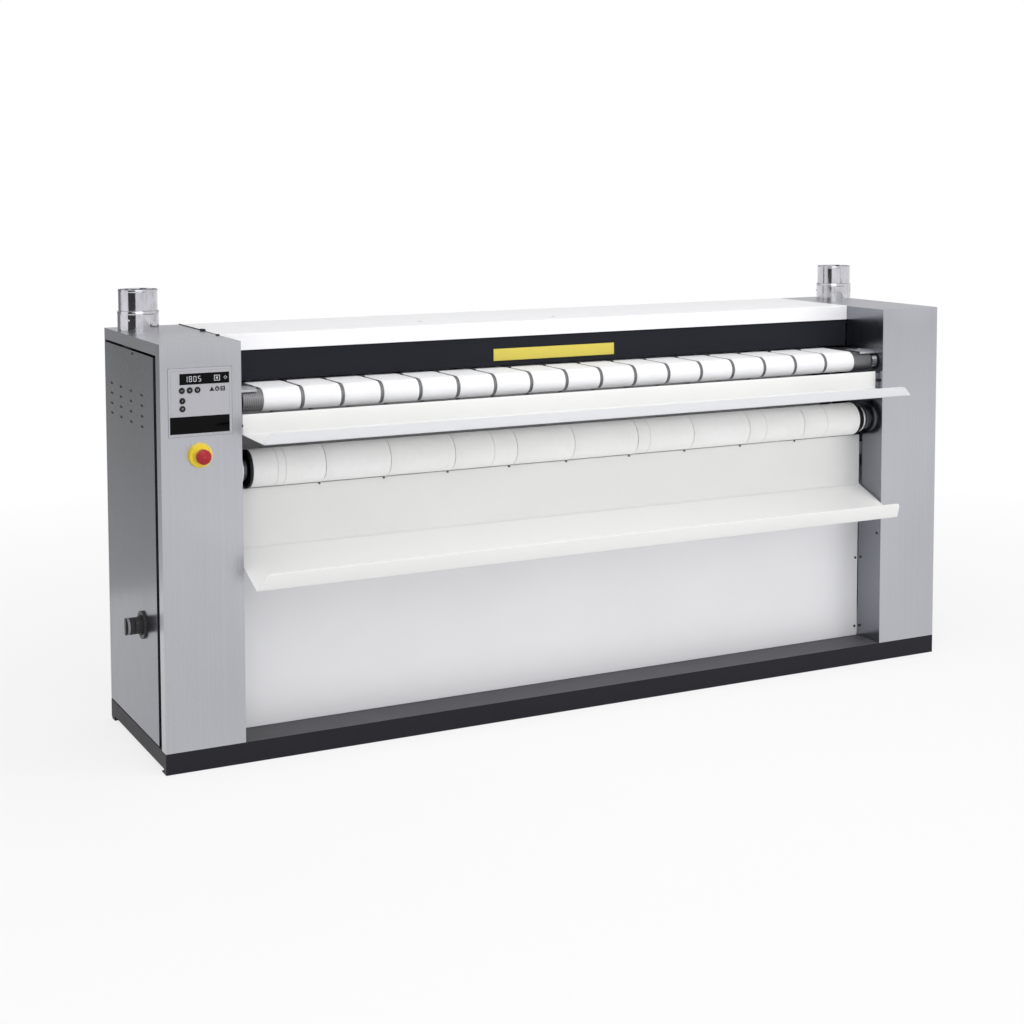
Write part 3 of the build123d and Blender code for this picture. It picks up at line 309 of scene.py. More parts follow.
def castMetal(name, colour, metallic=0.0, rough=0.6, grit=0.0022, relief=0.00022):
    # sand casting, bare or under one coat of paint
    look = Look(name, Metallic=metallic)
    sand = look.grains(grit, 4, 0.6)
    cloud = look.grains(0.05, 3)
    body = look.veil(shaded(colour, 0.86), shaded(colour, 1.12), cloud, 0.3, 0.7)
    body = look.mixed(look.worn() * 0.6, body, shaded(colour, 1.8))
    return look.paint(body, rough + (sand - 0.5) * 0.2 + (cloud - 0.5) * 0.1, sand, relief, 0.6)


def moulded(name, colour, rough, dust=0.08, shine=0.5):
    # moulded plastic with a spark-eroded skin, paler where hands and dust reach it
    look = Look(name, Specular_IOR_Level=shine)
    skin = look.grains(0.0006, 2, 0.5)
    cloud = look.grains(0.02, 3)
    wipe = look.grains((0.006, 0.03, 0.01), 4, 0.7, 0.5)
    pale = tuple(c + (0.7 - c) * 0.22 for c in colour[:3]) + (1.0,)
    body = look.veil(colour, pale, cloud, 0.35, 0.75, dust)
    body = look.mixed(look.worn() * 0.25, body, pale)
    return look.paint(body, rough + (cloud - 0.5) * 0.16 + (wipe - 0.5) * 0.10, skin, 0.00003, 0.5)


def beltCloth(name, colour):
    # woven polyester belting: warp and weft on the belt's own UV, in metres
    look = Look(name, Specular_IOR_Level=0.25, Sheen_Weight=0.15, Sheen_Roughness=0.5)
    cloth = look.node("UVMap", {"uv_map": "cloth"})
    weft, warp = (look.wave(look.axis(index, cloth), 0.0022) for index in (0, 1))
    weave = weft * warp * 0.5 + 0.5
    yarn = look.grains((0.0008, 0.006, 0.006), 3, 0.6)
    cloud = look.grains((0.12, 0.05, 0.05), 3, 0.55)
    body = look.veil(colour, shaded(colour, 0.90), cloud, 0.35, 0.8, 0.6)
    body = look.mixed(look.level(weave, 0.0, 0.5, 0.22, 0.0), body, shaded(colour, 0.72))
    body = look.veil(body, shaded(colour, 0.84), yarn, 0.6, 0.8, 0.3)
    return look.paint(body, 0.85 + (yarn - 0.5) * 0.1, weave + yarn * 0.4, 0.00016, 0.6)


def feltCloth(name, colour, scorch, seams):
    # needled felt: matted fibres, needle rows, a little scorching and sewn lines round the belts,
    # each at its place along X in metres
    look = Look(name, Specular_IOR_Level=0.2, Sheen_Weight=0.3, Sheen_Roughness=0.6)
    cloth = look.node("UVMap", {"uv_map": "cloth"})
    rows = look.wave(look.axis(0, cloth), 0.008)
    fibre = look.grains(0.0009, 4, 0.75, 1.2)
    matted = look.grains((0.011, 0.02, 0.02), 4, 0.6, 0.6)
    cloud = look.grains((0.22, 0.14, 0.14), 3, 0.5)
    body = look.veil(colour, scorch, cloud, 0.4, 0.8, 0.7)
    body = look.veil(body, shaded(colour, 0.82), matted, 0.5, 0.8, 0.25)
    body = look.veil(body, shaded(colour, 0.80), fibre, 0.55, 0.8, 0.35)
    height = fibre + matted * 1.6 + rows * 0.08
    across = look.axis(0) + (matted - 0.5) * 0.003
    for seam in seams:
        line = look.level(abs(across - seam), 0.0006, 0.0016, 1.0, 0.0)
        body = look.mixed(line * 0.4, body, shaded(colour, 0.42))
        height = height - line * 2.0
    return look.paint(body, 0.95 + (fibre - 0.5) * 0.06, height, 0.00035, 0.55)


def beltRubber(name):
    # black timing-belt rubber: a dull skin with dust in it and a cord pattern
    look = Look(name, Specular_IOR_Level=0.35)
    cord = look.grains((0.0012, 0.05, 0.05), 2)
    dust = look.grains(0.02, 4, 0.65)
    body = look.veil(tone(24, 24, 26), tone(66, 64, 62), dust, 0.5, 0.8, 0.5)
    return look.paint(body, 0.62 + (dust - 0.5) * 0.2, cord + dust, 0.0001, 0.5)


def printed(name, colour, rough, shine=0.4):
    # screen-printed ink or film: even colour, a thin gloss and a trace of dust
    look = Look(name, Specular_IOR_Level=shine)
    ink = look.grains(0.0008, 3, 0.6)
    wipe = look.grains((0.012, 0.012, 0.04), 4, 0.6, 0.4)
    body = look.veil(colour, shaded(colour, 0.86), wipe, 0.5, 0.85, 0.3)
    return look.paint(body, rough + (wipe - 0.5) * 0.12, ink, 0.00001, 0.4)


def screenCloth(name, colour):
    # woven wire screen: bright wires over gaps painted dark, painted shade of the inside seen through them
    look = Look(name, Metallic=0.8)
    wires = [look.level(look.wave(look.axis(index), 0.0022), -0.2, 0.5) for index in (1, 2)]
    mesh = wires[0].maths("MAXIMUM", wires[1])
    film = look.grains(0.03, 3)
    # painted shade in the gaps between the wires
    body = look.mixed(mesh, shaded(colour, 0.12), colour)
    body = look.veil(body, shaded(colour, 0.6), film, 0.45, 0.8, 0.5)
    return look.paint(body, 0.5 + (film - 0.5) * 0.2, mesh, 0.0003, 0.6)


def heated(name):
    # steel sheath of a heating element, blued and browned by its own heat
    look = Look(name, Metallic=1.0)
    temper = look.grains((0.09, 0.02, 0.02), 3, 0.6)
    scale = look.grains(0.003, 4, 0.6)
    body = look.ramp(temper, (0.3, tone(92, 84, 78)), (0.45, tone(110, 92, 70)), (0.6, tone(70, 72, 96)))
    body = look.veil(body, tone(48, 44, 42), scale, 0.55, 0.8)
    return look.paint(body, 0.45 + (scale - 0.5) * 0.3, scale, 0.0001, 0.5)


# looks: first one for each slot of the record, then those of the scene's own pieces
# painted light and shade on the housing fronts: heights in metres and how light the steel is painted there
paintedShadeByHeight = ((0.25, 0.93), (0.66, 1.0), (1.08, 0.87), (1.16, 0.95))
feltSeams = (-0.927, -0.904, -0.270, 0.256, 0.682, 0.918)
lookList = [
    brushed("brushedStainless", tone(188, 189, 195), 0.3, bands=paintedShadeByHeight),
    # the side covers carry painted shade near the floor
    brushed("coverStainless", tone(140, 142, 146), 0.24, fade=tone(126, 127, 136)),
    brushed("wallSteel", tone(143, 145, 152), 0.2, spread=0.05),
    castMetal("frameSteel", tone(120, 122, 126), 1.0, 0.45, 0.0015, 0.0001),
    brushed("bedSteel", tone(196, 197, 202), 0.3, along="X"),
    turnedMetal("rollerSteel", tone(138, 138, 140), 0.42, 0.0016, 0.00016, groove=0.005),
    turnedMetal("bearingSteel", tone(196, 197, 200), 0.16),
    turnedMetal("polishedCylinder", tone(206, 206, 208), 0.12, 0.0008, 0.00001),
    turnedMetal("cupChrome", tone(206, 207, 211), 0.07, 0.004, 0.00002, 0.2),
    turnedMetal("pulleyMetal", tone(150, 151, 154), 0.32),
    zincCoated("impellerMetal", tone(172, 173, 176), 0.4, 0.006),
    zincCoated("galvanisedSteel", tone(176, 178, 182)),
    zincCoated("exhaustGalvanised", tone(200, 200, 206), 0.1, 0.03, 0.00001),
    zincCoated("sleeveGalvanised", tone(200, 199, 204), 0.1, 0.024, 0.00001),
    coated("blackPaint", tone(35, 35, 40), 0.46, shine=0.14, dust=tone(84, 84, 87)),
    coated("guardPaint", tone(32, 33, 38), 0.55, 0.0009, shine=0.12),
    coated("discPaint", tone(18, 18, 20), 0.28, shine=0.3),
    coated("whitePaint", tone(240, 240, 242), 0.38),
    # painted light and shade: the chute's shelf and lip lighter than its back, which lies in shade under
    # the roller
    coated("warmWhitePaint", tone(233, 233, 232), 0.42, shine=0.35, handled=(-0.107, tone(243, 243, 242))),
    coated("motorPaint", tone(72, 84, 98), 0.45, 0.002),
    castMetal("bearingHousing", tone(62, 72, 84)),
    beltCloth("feedBeltFabric", tone(242, 242, 244)),
    feltCloth("ironingBeltFabric", tone(248, 248, 248), tone(242, 241, 238), feltSeams),
    beltRubber("beltRubber"),
    heated("elementMetal"),
    printed("panelFoil", tone(168, 168, 174), 0.36),
    printed("displayBlack", tone(10, 10, 11), 0.12, 0.1),
    moulded("keyBlack", tone(20, 20, 22), 0.36, shine=0.2),
    moulded("estopYellow", tone(232, 204, 52), 0.32, dust=0.15, shine=0.35),
    moulded("estopRed", tone(158, 24, 36), 0.34, dust=0.12, shine=0.3),
    moulded("switchBlack", tone(26, 26, 29), 0.4, shine=0.25),
    moulded("handleBlack", tone(24, 24, 27), 0.34, shine=0.25),
    moulded("devicePlastic", tone(196, 196, 190), 0.45),
    coated("screwBlack", tone(26, 26, 28), 0.3, 0.0006),
    printed("foilLine", tone(136, 137, 142), 0.4),
    printed("figureGlow", tone(182, 184, 188), 0.4),
    zincCoated("strapSteel", tone(206, 207, 212), 0.55),
    # painted shade: a darker copy of the white paint, for the lower front panel
    coated("frontPaint", tone(233, 233, 236), 0.38),
    # painted shade: the trough's lip darker and bluer than the rest of the trough
    coated("troughPaint", tone(232, 232, 231), 0.42, shine=0.35, handled=(-0.343, tone(205, 206, 209))),
    # painted shade: a dark, dull copy of the cup chrome for the return roller's bearing cups
    turnedMetal("cupDark", tone(120, 121, 126), 0.4, 0.003, 0.00001, 0.2),
    turnedMetal("ringChrome", tone(226, 227, 230), 0.3, 0.004, 0.00001, 0.1),
    screenCloth("screenSteel", tone(96, 98, 102)),
    printed("signInk", tone(22, 22, 24), 0.5),
    printed("markGrey", tone(150, 150, 152), 0.5),
    printed("stripYellow", tone(206, 190, 84), 0.5),
    moulded("ringGrey", tone(142, 142, 146), 0.36),
    beltRubber("sealRubber"),
    moulded("plugGrey", tone(186, 186, 188), 0.4),
]
looks = {look.material.name: look for look in lookList}
# the lower front panel wears painted shade, a darker copy of the white paint
wears = {"lower_front_panel": "frontPaint"}  # a node that doesn't take its slot's look


def lookName(slot):
    # brushed_stainless wears brushedStainless
    first, *words = slot.split("_")
    return first + "".join(word.title() for word in words)


for part in frame["record"]["subparts"]:
    look = looks[wears.get(part["node"]) or lookName(part["material_slot"])]
    for holder in frame["nodes"][part["node"]].material_slots:
        holder.material = look.material
print("looks made:", len(looks))


def placeMesh(name, mesh, look):
    # turns a bmesh into an object of the scene
    data = bpy.data.meshes.new(name)
    mesh.to_mesh(data)
    mesh.free()
    data.materials.append(look.material)
    made = bpy.data.objects.new(name, data)
    scene.collection.objects.link(made)
    return made


def keep(name, mesh, look, slot, crease=35, *covers, body="machine"):
    # makes a piece that rides on its body; edges sharper than crease degrees stay sharp
    piece = placeMesh(name, mesh, looks[look])
    piece.data.shade_smooth()
    piece.data.set_sharp_from_angle(angle=math.radians(crease))
    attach(piece, body)
    if covers:
        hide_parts(*covers)
    return piece


def softenEdges(mesh, edges, width, segments=2):
    settings = {"segments": segments, "profile": 0.5, "affect": "EDGES", "material": -1}
    ops.bevel(mesh, geom=list(edges), offset=width, clamp_overlap=True, **settings)


def blockShape(low, high):
    # the matrix that takes a unit cube to the block between two corners
    return Matrix.Translation((low + high) / 2) @ Matrix.Diagonal((*(high - low), 1))


def addBlock(mesh, low, high, soften=0.0):
    # corners in millimetres
    shape = blockShape(Vector(low) * mm, Vector(high) * mm)
    made = ops.create_cube(mesh, size=1, matrix=shape)["verts"]
    if soften:
        softenEdges(mesh, {e for v in made for e in v.link_edges}, soften * mm)


def moved(place):
    return Matrix.Translation(Vector(place) * mm)


def standAt(centre, along):
    # takes what stands on the origin along Z to centre, in millimetres, along another axis
    return moved(centre) @ Vector(along).to_track_quat("Z", "Y").to_matrix().to_4x4()


def turnProfile(mesh, outline, centre, along, steps=48, closed=True):
    # outline: (distance along the axis, radius) pairs in millimetres, spun round the axis
    shape = standAt(centre, along)
    row = [mesh.verts.new(shape @ Vector((r * mm, 0, d * mm))) for d, r in outline]
    pairs = list(zip(row, row[1:]))
    if closed:
        pairs.append((row[-1], row[0]))
    strip = [mesh.edges.new(pair) for pair in pairs]
    ops.spin(
        mesh, geom=row + strip, cent=Vector(centre) * mm, axis=Vector(along), dvec=(0, 0, 0),
        angle=math.tau, steps=steps, use_merge=True,
    )


def joinInto(mesh, other, place=Matrix()):
    # moves one bmesh's geometry into another, to its place there
    ops.transform(other, verts=other.verts, matrix=place)
    carrier = bpy.data.meshes.new("carrier")
    other.to_mesh(carrier)
    other.free()
    mesh.from_mesh(carrier)
    bpy.data.meshes.remove(carrier)


def faceOut(mesh):
    ops.recalc_face_normals(mesh, faces=mesh.faces)


def closeShell(mesh):
    ops.remove_doubles(mesh, verts=mesh.verts, dist=0.01 * mm)
    faceOut(mesh)


def thicken(mesh, thickness):
    # gives a sheet its thickness in millimetres and softens its rims
    ops.solidify(mesh, geom=mesh.faces, thickness=thickness * mm)
    rims = [e for e in mesh.edges if e.calc_face_angle(0.0) > 1.0]
    softenEdges(mesh, rims, 0.3 * mm)
    faceOut(mesh)


# belts: closed loops of cloth round their rollers, one beside the other
feedBelts = {
    "rollers": [(-139, 972, 30, 1), (27, 980, 22, 1)],  # y, z, radius, 1 inside the loop or -1 outside
    "cuts": [-971 + 117 * index for index in range(18)],  # where each belt starts along X
    "gap": 11,
    "thickness": 1.5,
    "straightCuts": 5,
    "arcStep": 9,  # degrees
    "wander": 0.35,  # how far the cut edges stray
    "peg": (3.4, (-34, -24), (1001, 1006.5)),  # between two belts: half width, y, z
}
ironingBelts = {
    "rollers": [
        (-103, 780, 50, 1), (310, 692, 20, 1), (310, 1030, 20, 1), (125, 1034.534, 25, 1),
        (160, 860, 150, -1),
    ],
    "cuts": [-996, -787, -593, -394, -195, -4, 214, 413, 620, 829, 1048],
    "gap": 1.6,
    "thickness": 2,
    "straightCuts": 7,
    "arcStep": 7,
    "wander": 0.5,
    "peg": (2.6, (-102, -97), (719.5, 724)),
}
beltClearance = 0.3
crossCuts = 3
edgeWaves = (3, 14)  # of a cut edge's wander, to the metre: across the belts and along them


def tangentPoints(rollers):
    # where the belt's line meets and leaves each roller
    meets, leaves = [], []
    for here, ahead in zip(rollers, rollers[1:] + rollers[:1]):
        runY, runZ = ahead[0] - here[0], ahead[1] - here[1]
        change = ahead[3] * ahead[2] - here[3] * here[2]
        normal = math.atan2(runZ, runY) + math.acos(change / math.hypot(runY, runZ))
        for roller, ends in ((here, leaves), (ahead, meets)):
            reach = -roller[3] * roller[2]
            y = roller[0] + reach * math.cos(normal)
            ends.append((y, roller[1] + reach * math.sin(normal)))
    return meets, leaves


def beltLoop(mesh, belt, low, high):
    # one belt: a point is spun round each roller and pulled along each straight,
    # then the line is drawn out to the belt's width
    rollers = [
        (y, z, r + beltClearance + (belt["thickness"] if side < 0 else 0), side)
        for y, z, r, side in belt["rollers"]
    ]
    meets, leaves = tangentPoints(rollers)
    along = mesh.verts.layers.float.get("along") or mesh.verts.layers.float.new("along")
    tip = mesh.verts.new(Vector((low, *meets[-1])) * mm)
    line, travelled = [tip], 0.0
    for index, (y, z, radius, side) in enumerate(rollers):
        start, end = meets[index - 1], leaves[index]
        first = math.atan2(start[1] - z, start[0] - y)
        last = math.atan2(end[1] - z, end[0] - y)
        turn = side * ((side * (last - first)) % math.tau)
        steps = max(3, round(abs(math.degrees(turn)) / belt["arcStep"]))
        about = {"cent": Vector((low, y, z)) * mm, "matrix": Matrix.Rotation(turn / steps, 3, "X")}
        run, cuts = (Vector((low, *meets[index])) - Vector((low, *end))) * mm, belt["straightCuts"]
        moves = [(ops.rotate, about, abs(turn) * radius * mm / steps)] * steps
        moves += [(ops.translate, {"vec": run / cuts}, run.length / cuts)] * cuts
        for move, facts, length in moves:
            made = ops.extrude_vert_indiv(mesh, verts=[line[-1]])["verts"]
            move(mesh, verts=made, **facts)
            line += made
            travelled += length
            line[-1][along] = travelled
    ops.pointmerge(mesh, verts=[line[-1], line[0]], merge_co=line[0].co)
    ring = {e for v in line if v.is_valid for e in v.link_edges}
    side = ops.extrude_edge_only(mesh, edges=list(ring))["geom"]
    far = [v for v in side if isinstance(v, bmesh.types.BMVert)]
    ops.translate(mesh, verts=far, vec=Vector((high - low, 0, 0)) * mm)
    rungs = {e for v in far for e in v.link_edges if abs(e.verts[0].co.x - e.verts[1].co.x) > 1e-6}
    ops.subdivide_edges(mesh, edges=list(rungs), cuts=crossCuts)
    return travelled


def makeBelts(name, belt, slot, node):
    mesh = bmesh.new()
    edges, width = [], 0
    for low, high in zip(belt["cuts"], belt["cuts"][1:]):
        high -= belt["gap"]
        length = beltLoop(mesh, belt, low, high)
        width += high - low
        edges += [low, high]
    along = mesh.verts.layers.float["along"]
    cloth = mesh.loops.layers.uv.new("cloth")
    faceOut(mesh)
    for face in mesh.faces:
        marks = [loop.vert[along] for loop in face.loops]
        for loop, mark in zip(face.loops, marks):
            if max(marks) - mark > length / 2:
                mark += length
            loop[cloth].uv = (loop.vert.co.x, mark)
    middle = Vector((0, sum(r[0] for r in belt["rollers"]), sum(r[1] for r in belt["rollers"])))
    middle *= mm / len(belt["rollers"])
    outward = sum((f.calc_center_median() - middle).dot(f.normal) * f.calc_area() for f in mesh.faces)
    if outward < 0:
        ops.reverse_faces(mesh, faces=mesh.faces)
    for vert in mesh.verts:  # cut edges wander a little
        if min(abs(vert.co.x * 1000 - edge) for edge in edges) < 0.01:
            spot = (vert.co.x * edgeWaves[0], vert[along] * edgeWaves[1], belt["gap"])
            drift = noise.noise(Vector(spot))
            vert.co.x += drift * belt["wander"] * mm
    thicken(mesh, -belt["thickness"])
    piece = keep(name, mesh, lookName(slot), slot, 50, node)
    return piece, width * mm, length


feedPiece, feedWidth, feedLength = makeBelts("feedBeltSet", feedBelts, "feed_belt_fabric", "feed_belts")
ironingPiece, ironingWidth, ironingLength = makeBelts(
    "ironingBeltSet", ironingBelts, "ironing_belt_fabric", "ironing_belts"
)
print("belts made: feed", round(feedLength, 3), "m, ironing", round(ironingLength, 3), "m")


# exhaust tubes and their sleeves: rolled rims, a lock seam on each and three rivets on the sleeves
exhaust = {
    "sides": ((-1195, 196), (1245, 262)),  # x, the seams' angle
    "depth": 250,
    "foot": 1140,
    "tubeLine": [
        (1, 51.2), (1, 52.9), (53, 52.9), (56, 54.9), (57, 54.9), (107, 54.9), (108, 54.9), (110, 55.6),
        (113.4, 55.6), (114.8, 54.8), (114.4, 53.9), (113.4, 53.8), (58, 53.8), (57, 53.8), (54, 51.2),
    ],
    "sleeveLine": [
        (0, 53.4), (0, 58), (1, 58), (45, 58), (46, 58), (47.5, 58.7), (50.5, 58.7), (52, 58), (54.4, 57.4),
        (55, 56.4), (55, 53.4),
    ],
    "seamWidth": 7,
    "seamProud": 0.8,
    "tubeSeam": (54.6, 57, 108),  # radius, foot, top
    "sleeveSeam": (57.6, 4, 46),
    "rivetAngles": (150, 228, 306),
    "rivetHeight": 30,
    "rivetLine": [(56, 0), (56, 3), (59, 3), (59.8, 2), (60.2, 0)],
}


def makeExhaust():
    tubes, sleeves = bmesh.new(), bmesh.new()
    half, proud = exhaust["seamWidth"] / 2, exhaust["seamProud"]
    lift = moved((0, 0, exhaust["rivetHeight"]))
    for x, seamAngle in exhaust["sides"]:
        centre = (x, exhaust["depth"], exhaust["foot"])
        seamPlace = moved(centre) @ turned(seamAngle, "Z")
        for mesh, part in ((tubes, "tube"), (sleeves, "sleeve")):
            turnProfile(mesh, exhaust[part + "Line"], centre, (0, 0, 1), 64)
            radius, low, high = exhaust[part + "Seam"]
            strip = bmesh.new()
            addBlock(strip, (radius, -half, low), (radius + proud, half, high), 0.3)
            joinInto(mesh, strip, seamPlace)
        for degrees in exhaust["rivetAngles"]:
            rivet = bmesh.new()
            turnProfile(rivet, exhaust["rivetLine"], (0, 0, 0), (1, 0, 0), 16, False)
            joinInto(sleeves, rivet, moved(centre) @ turned(degrees, "Z") @ lift)
    for mesh, name, slot, node in (
        (tubes, "exhaustTubePair", "exhaust_galvanised", "exhaust_tubes"),
        (sleeves, "exhaustSleevePair", "sleeve_galvanised", "exhaust_sleeves"),
    ):
        closeShell(mesh)
        keep(name, mesh, lookName(slot), slot, 40, node)


makeExhaust()
print("exhaust tubes made")


innerWalls = ((-1045, 1), (1095, -1))  # x of each inner wall and the way that it faces

# screws: socket heads on the front panel and the inner walls, and two milled heads beside the trough
screws = {
    "headSize": (4, 2.5),  # radius, height
    "panelFace": -90,
    "panelPlaces": [(-1034, 88), (-1034, 316), (1084, 88), (1084, 316)],  # x, z
    "wallPlaces": [(-185, 414), (-102, 91)],  # y, z
    "milledFace": -179.5,
    "milledPlaces": [(-1040, 911), (1090, 911)],  # x, z
    "milledRadius": 4.7,
    "gripFrom": 4.6,
    "gripStep": 10,  # degrees
    "gripShare": 0.06,
}
socketHeads = {  # as shares of a head's height and radius
    "line": [(0, 0), (0, 1), (0.55, 1), (0.85, 0.9), (1, 0.72), (1, 0.52), (1, 0)],  # height, radius
    "socket": 0.52,
    "sunk": 0.6,
    "lobes": 6,
    "lobeShare": 0.13,
}


def socketHead(mesh, centre, along, radius, height):
    # a domed head with a lobed socket sunk into it
    head = bmesh.new()
    outline = [(height * d, radius * r) for d, r in socketHeads["line"]]
    turnProfile(head, outline, (0, 0, 0), (0, 0, 1), 24, False)
    closeShell(head)
    socket = radius * socketHeads["socket"]
    centreFaces = [
        f for f in head.faces
        if f.normal.z > 0.9 and f.calc_center_median().to_2d().length < socket * 0.8 * mm
    ]
    ops.extrude_face_region(head, geom=centreFaces)
    for vert in {v for f in centreFaces if f.is_valid for v in f.verts}:
        vert.co.z -= height * socketHeads["sunk"] * mm
    for vert in head.verts:
        if abs(vert.co.to_2d().length - socket * mm) < 0.05 * mm:
            lobe = math.cos(socketHeads["lobes"] * math.atan2(vert.co.y, vert.co.x))
            vert.co.x *= 1 + socketHeads["lobeShare"] * lobe
            vert.co.y *= 1 + socketHeads["lobeShare"] * lobe
    faceOut(head)
    joinInto(mesh, head, standAt(centre, along))


def milledHead(mesh, x, z):
    head = bmesh.new()
    radius, share = screws["milledRadius"], screws["gripShare"]
    outline = [(0, 0), (0, 3), (2.5, 3), (2.7, radius), (8.2, radius), (9, radius * 0.8), (9, 0)]
    turnProfile(head, outline, (x, screws["milledFace"], z), (0, -1, 0), 36, False)
    closeShell(head)
    for vert in head.verts:
        reach = Vector((vert.co.x - x * mm, vert.co.z - z * mm))
        turn = math.degrees(math.atan2(*reach))
        if reach.length > screws["gripFrom"] * mm and round(turn / screws["gripStep"]) % 2:
            vert.co.x -= reach.x * share
            vert.co.z -= reach.y * share
    joinInto(mesh, head)


def makeScrews():
    mesh = bmesh.new()
    for x, z in screws["panelPlaces"]:
        socketHead(mesh, (x, screws["panelFace"], z), (0, -1, 0), *screws["headSize"])
    for wall, away in innerWalls:
        for y, z in screws["wallPlaces"]:
            socketHead(mesh, (wall, y, z), (away, 0, 0), *screws["headSize"])
    for x, z in screws["milledPlaces"]:
        milledHead(mesh, x, z)
    keep("panelScrews", mesh, "screwBlack", "screw_black", 30, "cover_screws")


makeScrews()
print("screws made")


# control panel: outline, black strip, figures, printed signs and the keys' marks;
# flat shapes are given as x from, x to, z from, z to
panel = {
    "front": -206,
    "foil": (-1243, -1072, 896, 1075),
    "rimWidth": 1.4,
    "rimDepth": 1,
    "printedLine": (-1237, -1078, 902.4, 1069),
    "lineWidth": 0.7,
    "lineProud": 0.06,
    "strip": (-1240, -1079, 903, 948),
    "stripSize": (0.3, 0.12),  # proud, softened edge
    "displayFront": -206.6,
    "figures": "1805",
    "figureStart": -1200,
    "figurePitch": 12.2,
    "figureSize": (8.2, 15),
    "figureFoot": 1039,
    "figureGap": (0.3, 0.4),  # between bars at mid height, and at the head and foot
    "stroke": 1.7,
    "displayRing": (-1120, -1104, 1039, 1054),
    "displayDot": (-1115, -1109, 1044, 1049),
    "displayDiamond": (-1089, 1046.5),  # x, z
    "diamondRadii": (3.4, 5),
    "litProud": 0.12,
    "inkProud": 0.1,
    "signsX": (-1126, -1111.5, -1096.5),
    "signZ": 1017.5,
    "signHalf": 6.2,
    "triangleRadius": 8.2,
    "triangleDrop": 1.4,
    "dialHole": 3,
    "dialBar": (0.9, -1, 7.4),  # half width, foot and head from the dial's middle
    "boxStroke": 2.8,
    "boxBar": 1.3,
    "keyFront": -207.5,
    "markProud": 0.08,
}
litBars = {"0": "abcdef", "1": "bc", "5": "acdfg", "8": "abcdefg"}
rooted = 0.05  # how far printed shapes reach into the face that they stand on


def ringBars(x0, x1, z0, z1, wide):
    return [
        (x0, x1, z1 - wide, z1), (x0, x1, z0, z0 + wide),
        (x0, x0 + wide, z0 + wide, z1 - wide), (x1 - wide, x1, z0 + wide, z1 - wide),
    ]


def flatBars(mesh, bars, face, proud, soften=0.0):
    for x0, x1, z0, z1 in bars:
        addBlock(mesh, (x0, face - proud, z0), (x1, face + rooted, z1), soften)


def flatRing(mesh, radii, x, face, z, proud, steps):
    inner, outer = radii
    outline = [(0, inner), (0, outer), (proud, outer), (proud, inner)]
    turnProfile(mesh, outline, (x, face, z), (0, -1, 0), steps)


def makeFoil():
    outline, strip = bmesh.new(), bmesh.new()
    front, rim = panel["front"], panel["rimWidth"]
    x0, x1, z0, z1 = panel["foil"]
    bars, depth = ringBars(x0 - rim, x1 + rim, z0 - rim, z1 + rim, rim), panel["rimDepth"]
    flatBars(outline, bars, front + depth - rooted, depth)
    flatBars(outline, ringBars(*panel["printedLine"], panel["lineWidth"]), front, panel["lineProud"])
    keep("foilOutline", outline, "foilLine", "panel_foil")
    flatBars(strip, [panel["strip"]], front, *panel["stripSize"])
    keep("panelStrip", strip, "displayBlack", "display_black")


def makeFigures():
    glow = bmesh.new()
    (wide, high), bar = panel["figureSize"], panel["stroke"]
    foot, face, proud = panel["figureFoot"], panel["displayFront"], panel["litProud"]
    head, half = foot + high, foot + high / 2
    middle, end = panel["figureGap"]
    for index, figure in enumerate(panel["figures"]):
        x0 = panel["figureStart"] + index * panel["figurePitch"]
        x1, left, right = x0 + wide, x0 + bar, x0 + wide - bar
        bars = {
            "a": (left, right, head - bar, head),
            "b": (right, x1, half + middle, head - end),
            "c": (right, x1, foot + end, half - middle),
            "d": (left, right, foot, foot + bar),
            "e": (x0, left, foot + end, half - middle),
            "f": (x0, left, half + middle, head - end),
            "g": (left, right, half - bar / 2, half + bar / 2),
        }
        flatBars(glow, [bars[letter] for letter in litBars[figure]], face, proud)
    flatBars(glow, [*ringBars(*panel["displayRing"], bar), panel["displayDot"]], face, proud)
    x, z = panel["displayDiamond"]
    flatRing(glow, panel["diamondRadii"], x, face, z, proud, 4)
    keep("displayFigures", glow, "figureGlow", "display_black")


def makeSigns():
    # a warning triangle, an upright bar in a ring and a barred box
    ink = bmesh.new()
    front, proud, half = panel["front"], panel["inkProud"], panel["signHalf"]
    (triangle, dial, box), z = panel["signsX"], panel["signZ"]
    ops.create_circle(
        ink, cap_ends=True, radius=panel["triangleRadius"] * mm, segments=3,
        matrix=moved((triangle, front - proud, z - panel["triangleDrop"])) @ turned(90, "X"),
    )
    flatRing(ink, (panel["dialHole"], half), dial, front, z, proud, 32)
    wide, low, high = panel["dialBar"]
    addBlock(ink, (dial - wide, front - proud, z + low), (dial + wide, front, z + high))
    x0, x1, bar = box - half, box + half, panel["boxBar"]
    bars = ringBars(x0, x1, z - half, z + half, panel["boxStroke"])
    flatBars(ink, [*bars, (x0, x1, z - bar, z + bar)], front, proud)
    keep("panelSigns", ink, "signInk", "key_black")


keyMarks = {
    # key: x, z and the bars of its mark, from its middle
    "left_key": (-1207, 1017, [(-2.8, 2.8, -0.6, 0.6)]),
    "middle_key": (-1186, 1017, [(-2.8, 2.8, -0.6, 0.6), (-0.6, 0.6, -2.8, 2.8)]),
    "right_key": (-1165, 1017, ringBars(-2.6, 2.6, -2.6, 2.6, 1)),
    "upper_button": (-1206, 990, [(-0.5, 0.5, -2.6, 2.6)]),
    "lower_button": (-1206, 969, ringBars(-2.2, 2.2, -2.2, 2.2, 0.8)),
}


def makeKeyMarks():
    for key, (x, z, bars) in keyMarks.items():
        mesh = bmesh.new()
        bars = [(x + a, x + b, z + c, z + d) for a, b, c, d in bars]
        flatBars(mesh, bars, panel["keyFront"], panel["markProud"])
        keep(key + "Mark", mesh, "markGrey", "key_black", body=key)


makeFoil()
makeFigures()
makeSigns()
makeKeyMarks()
print("control panel dressed")


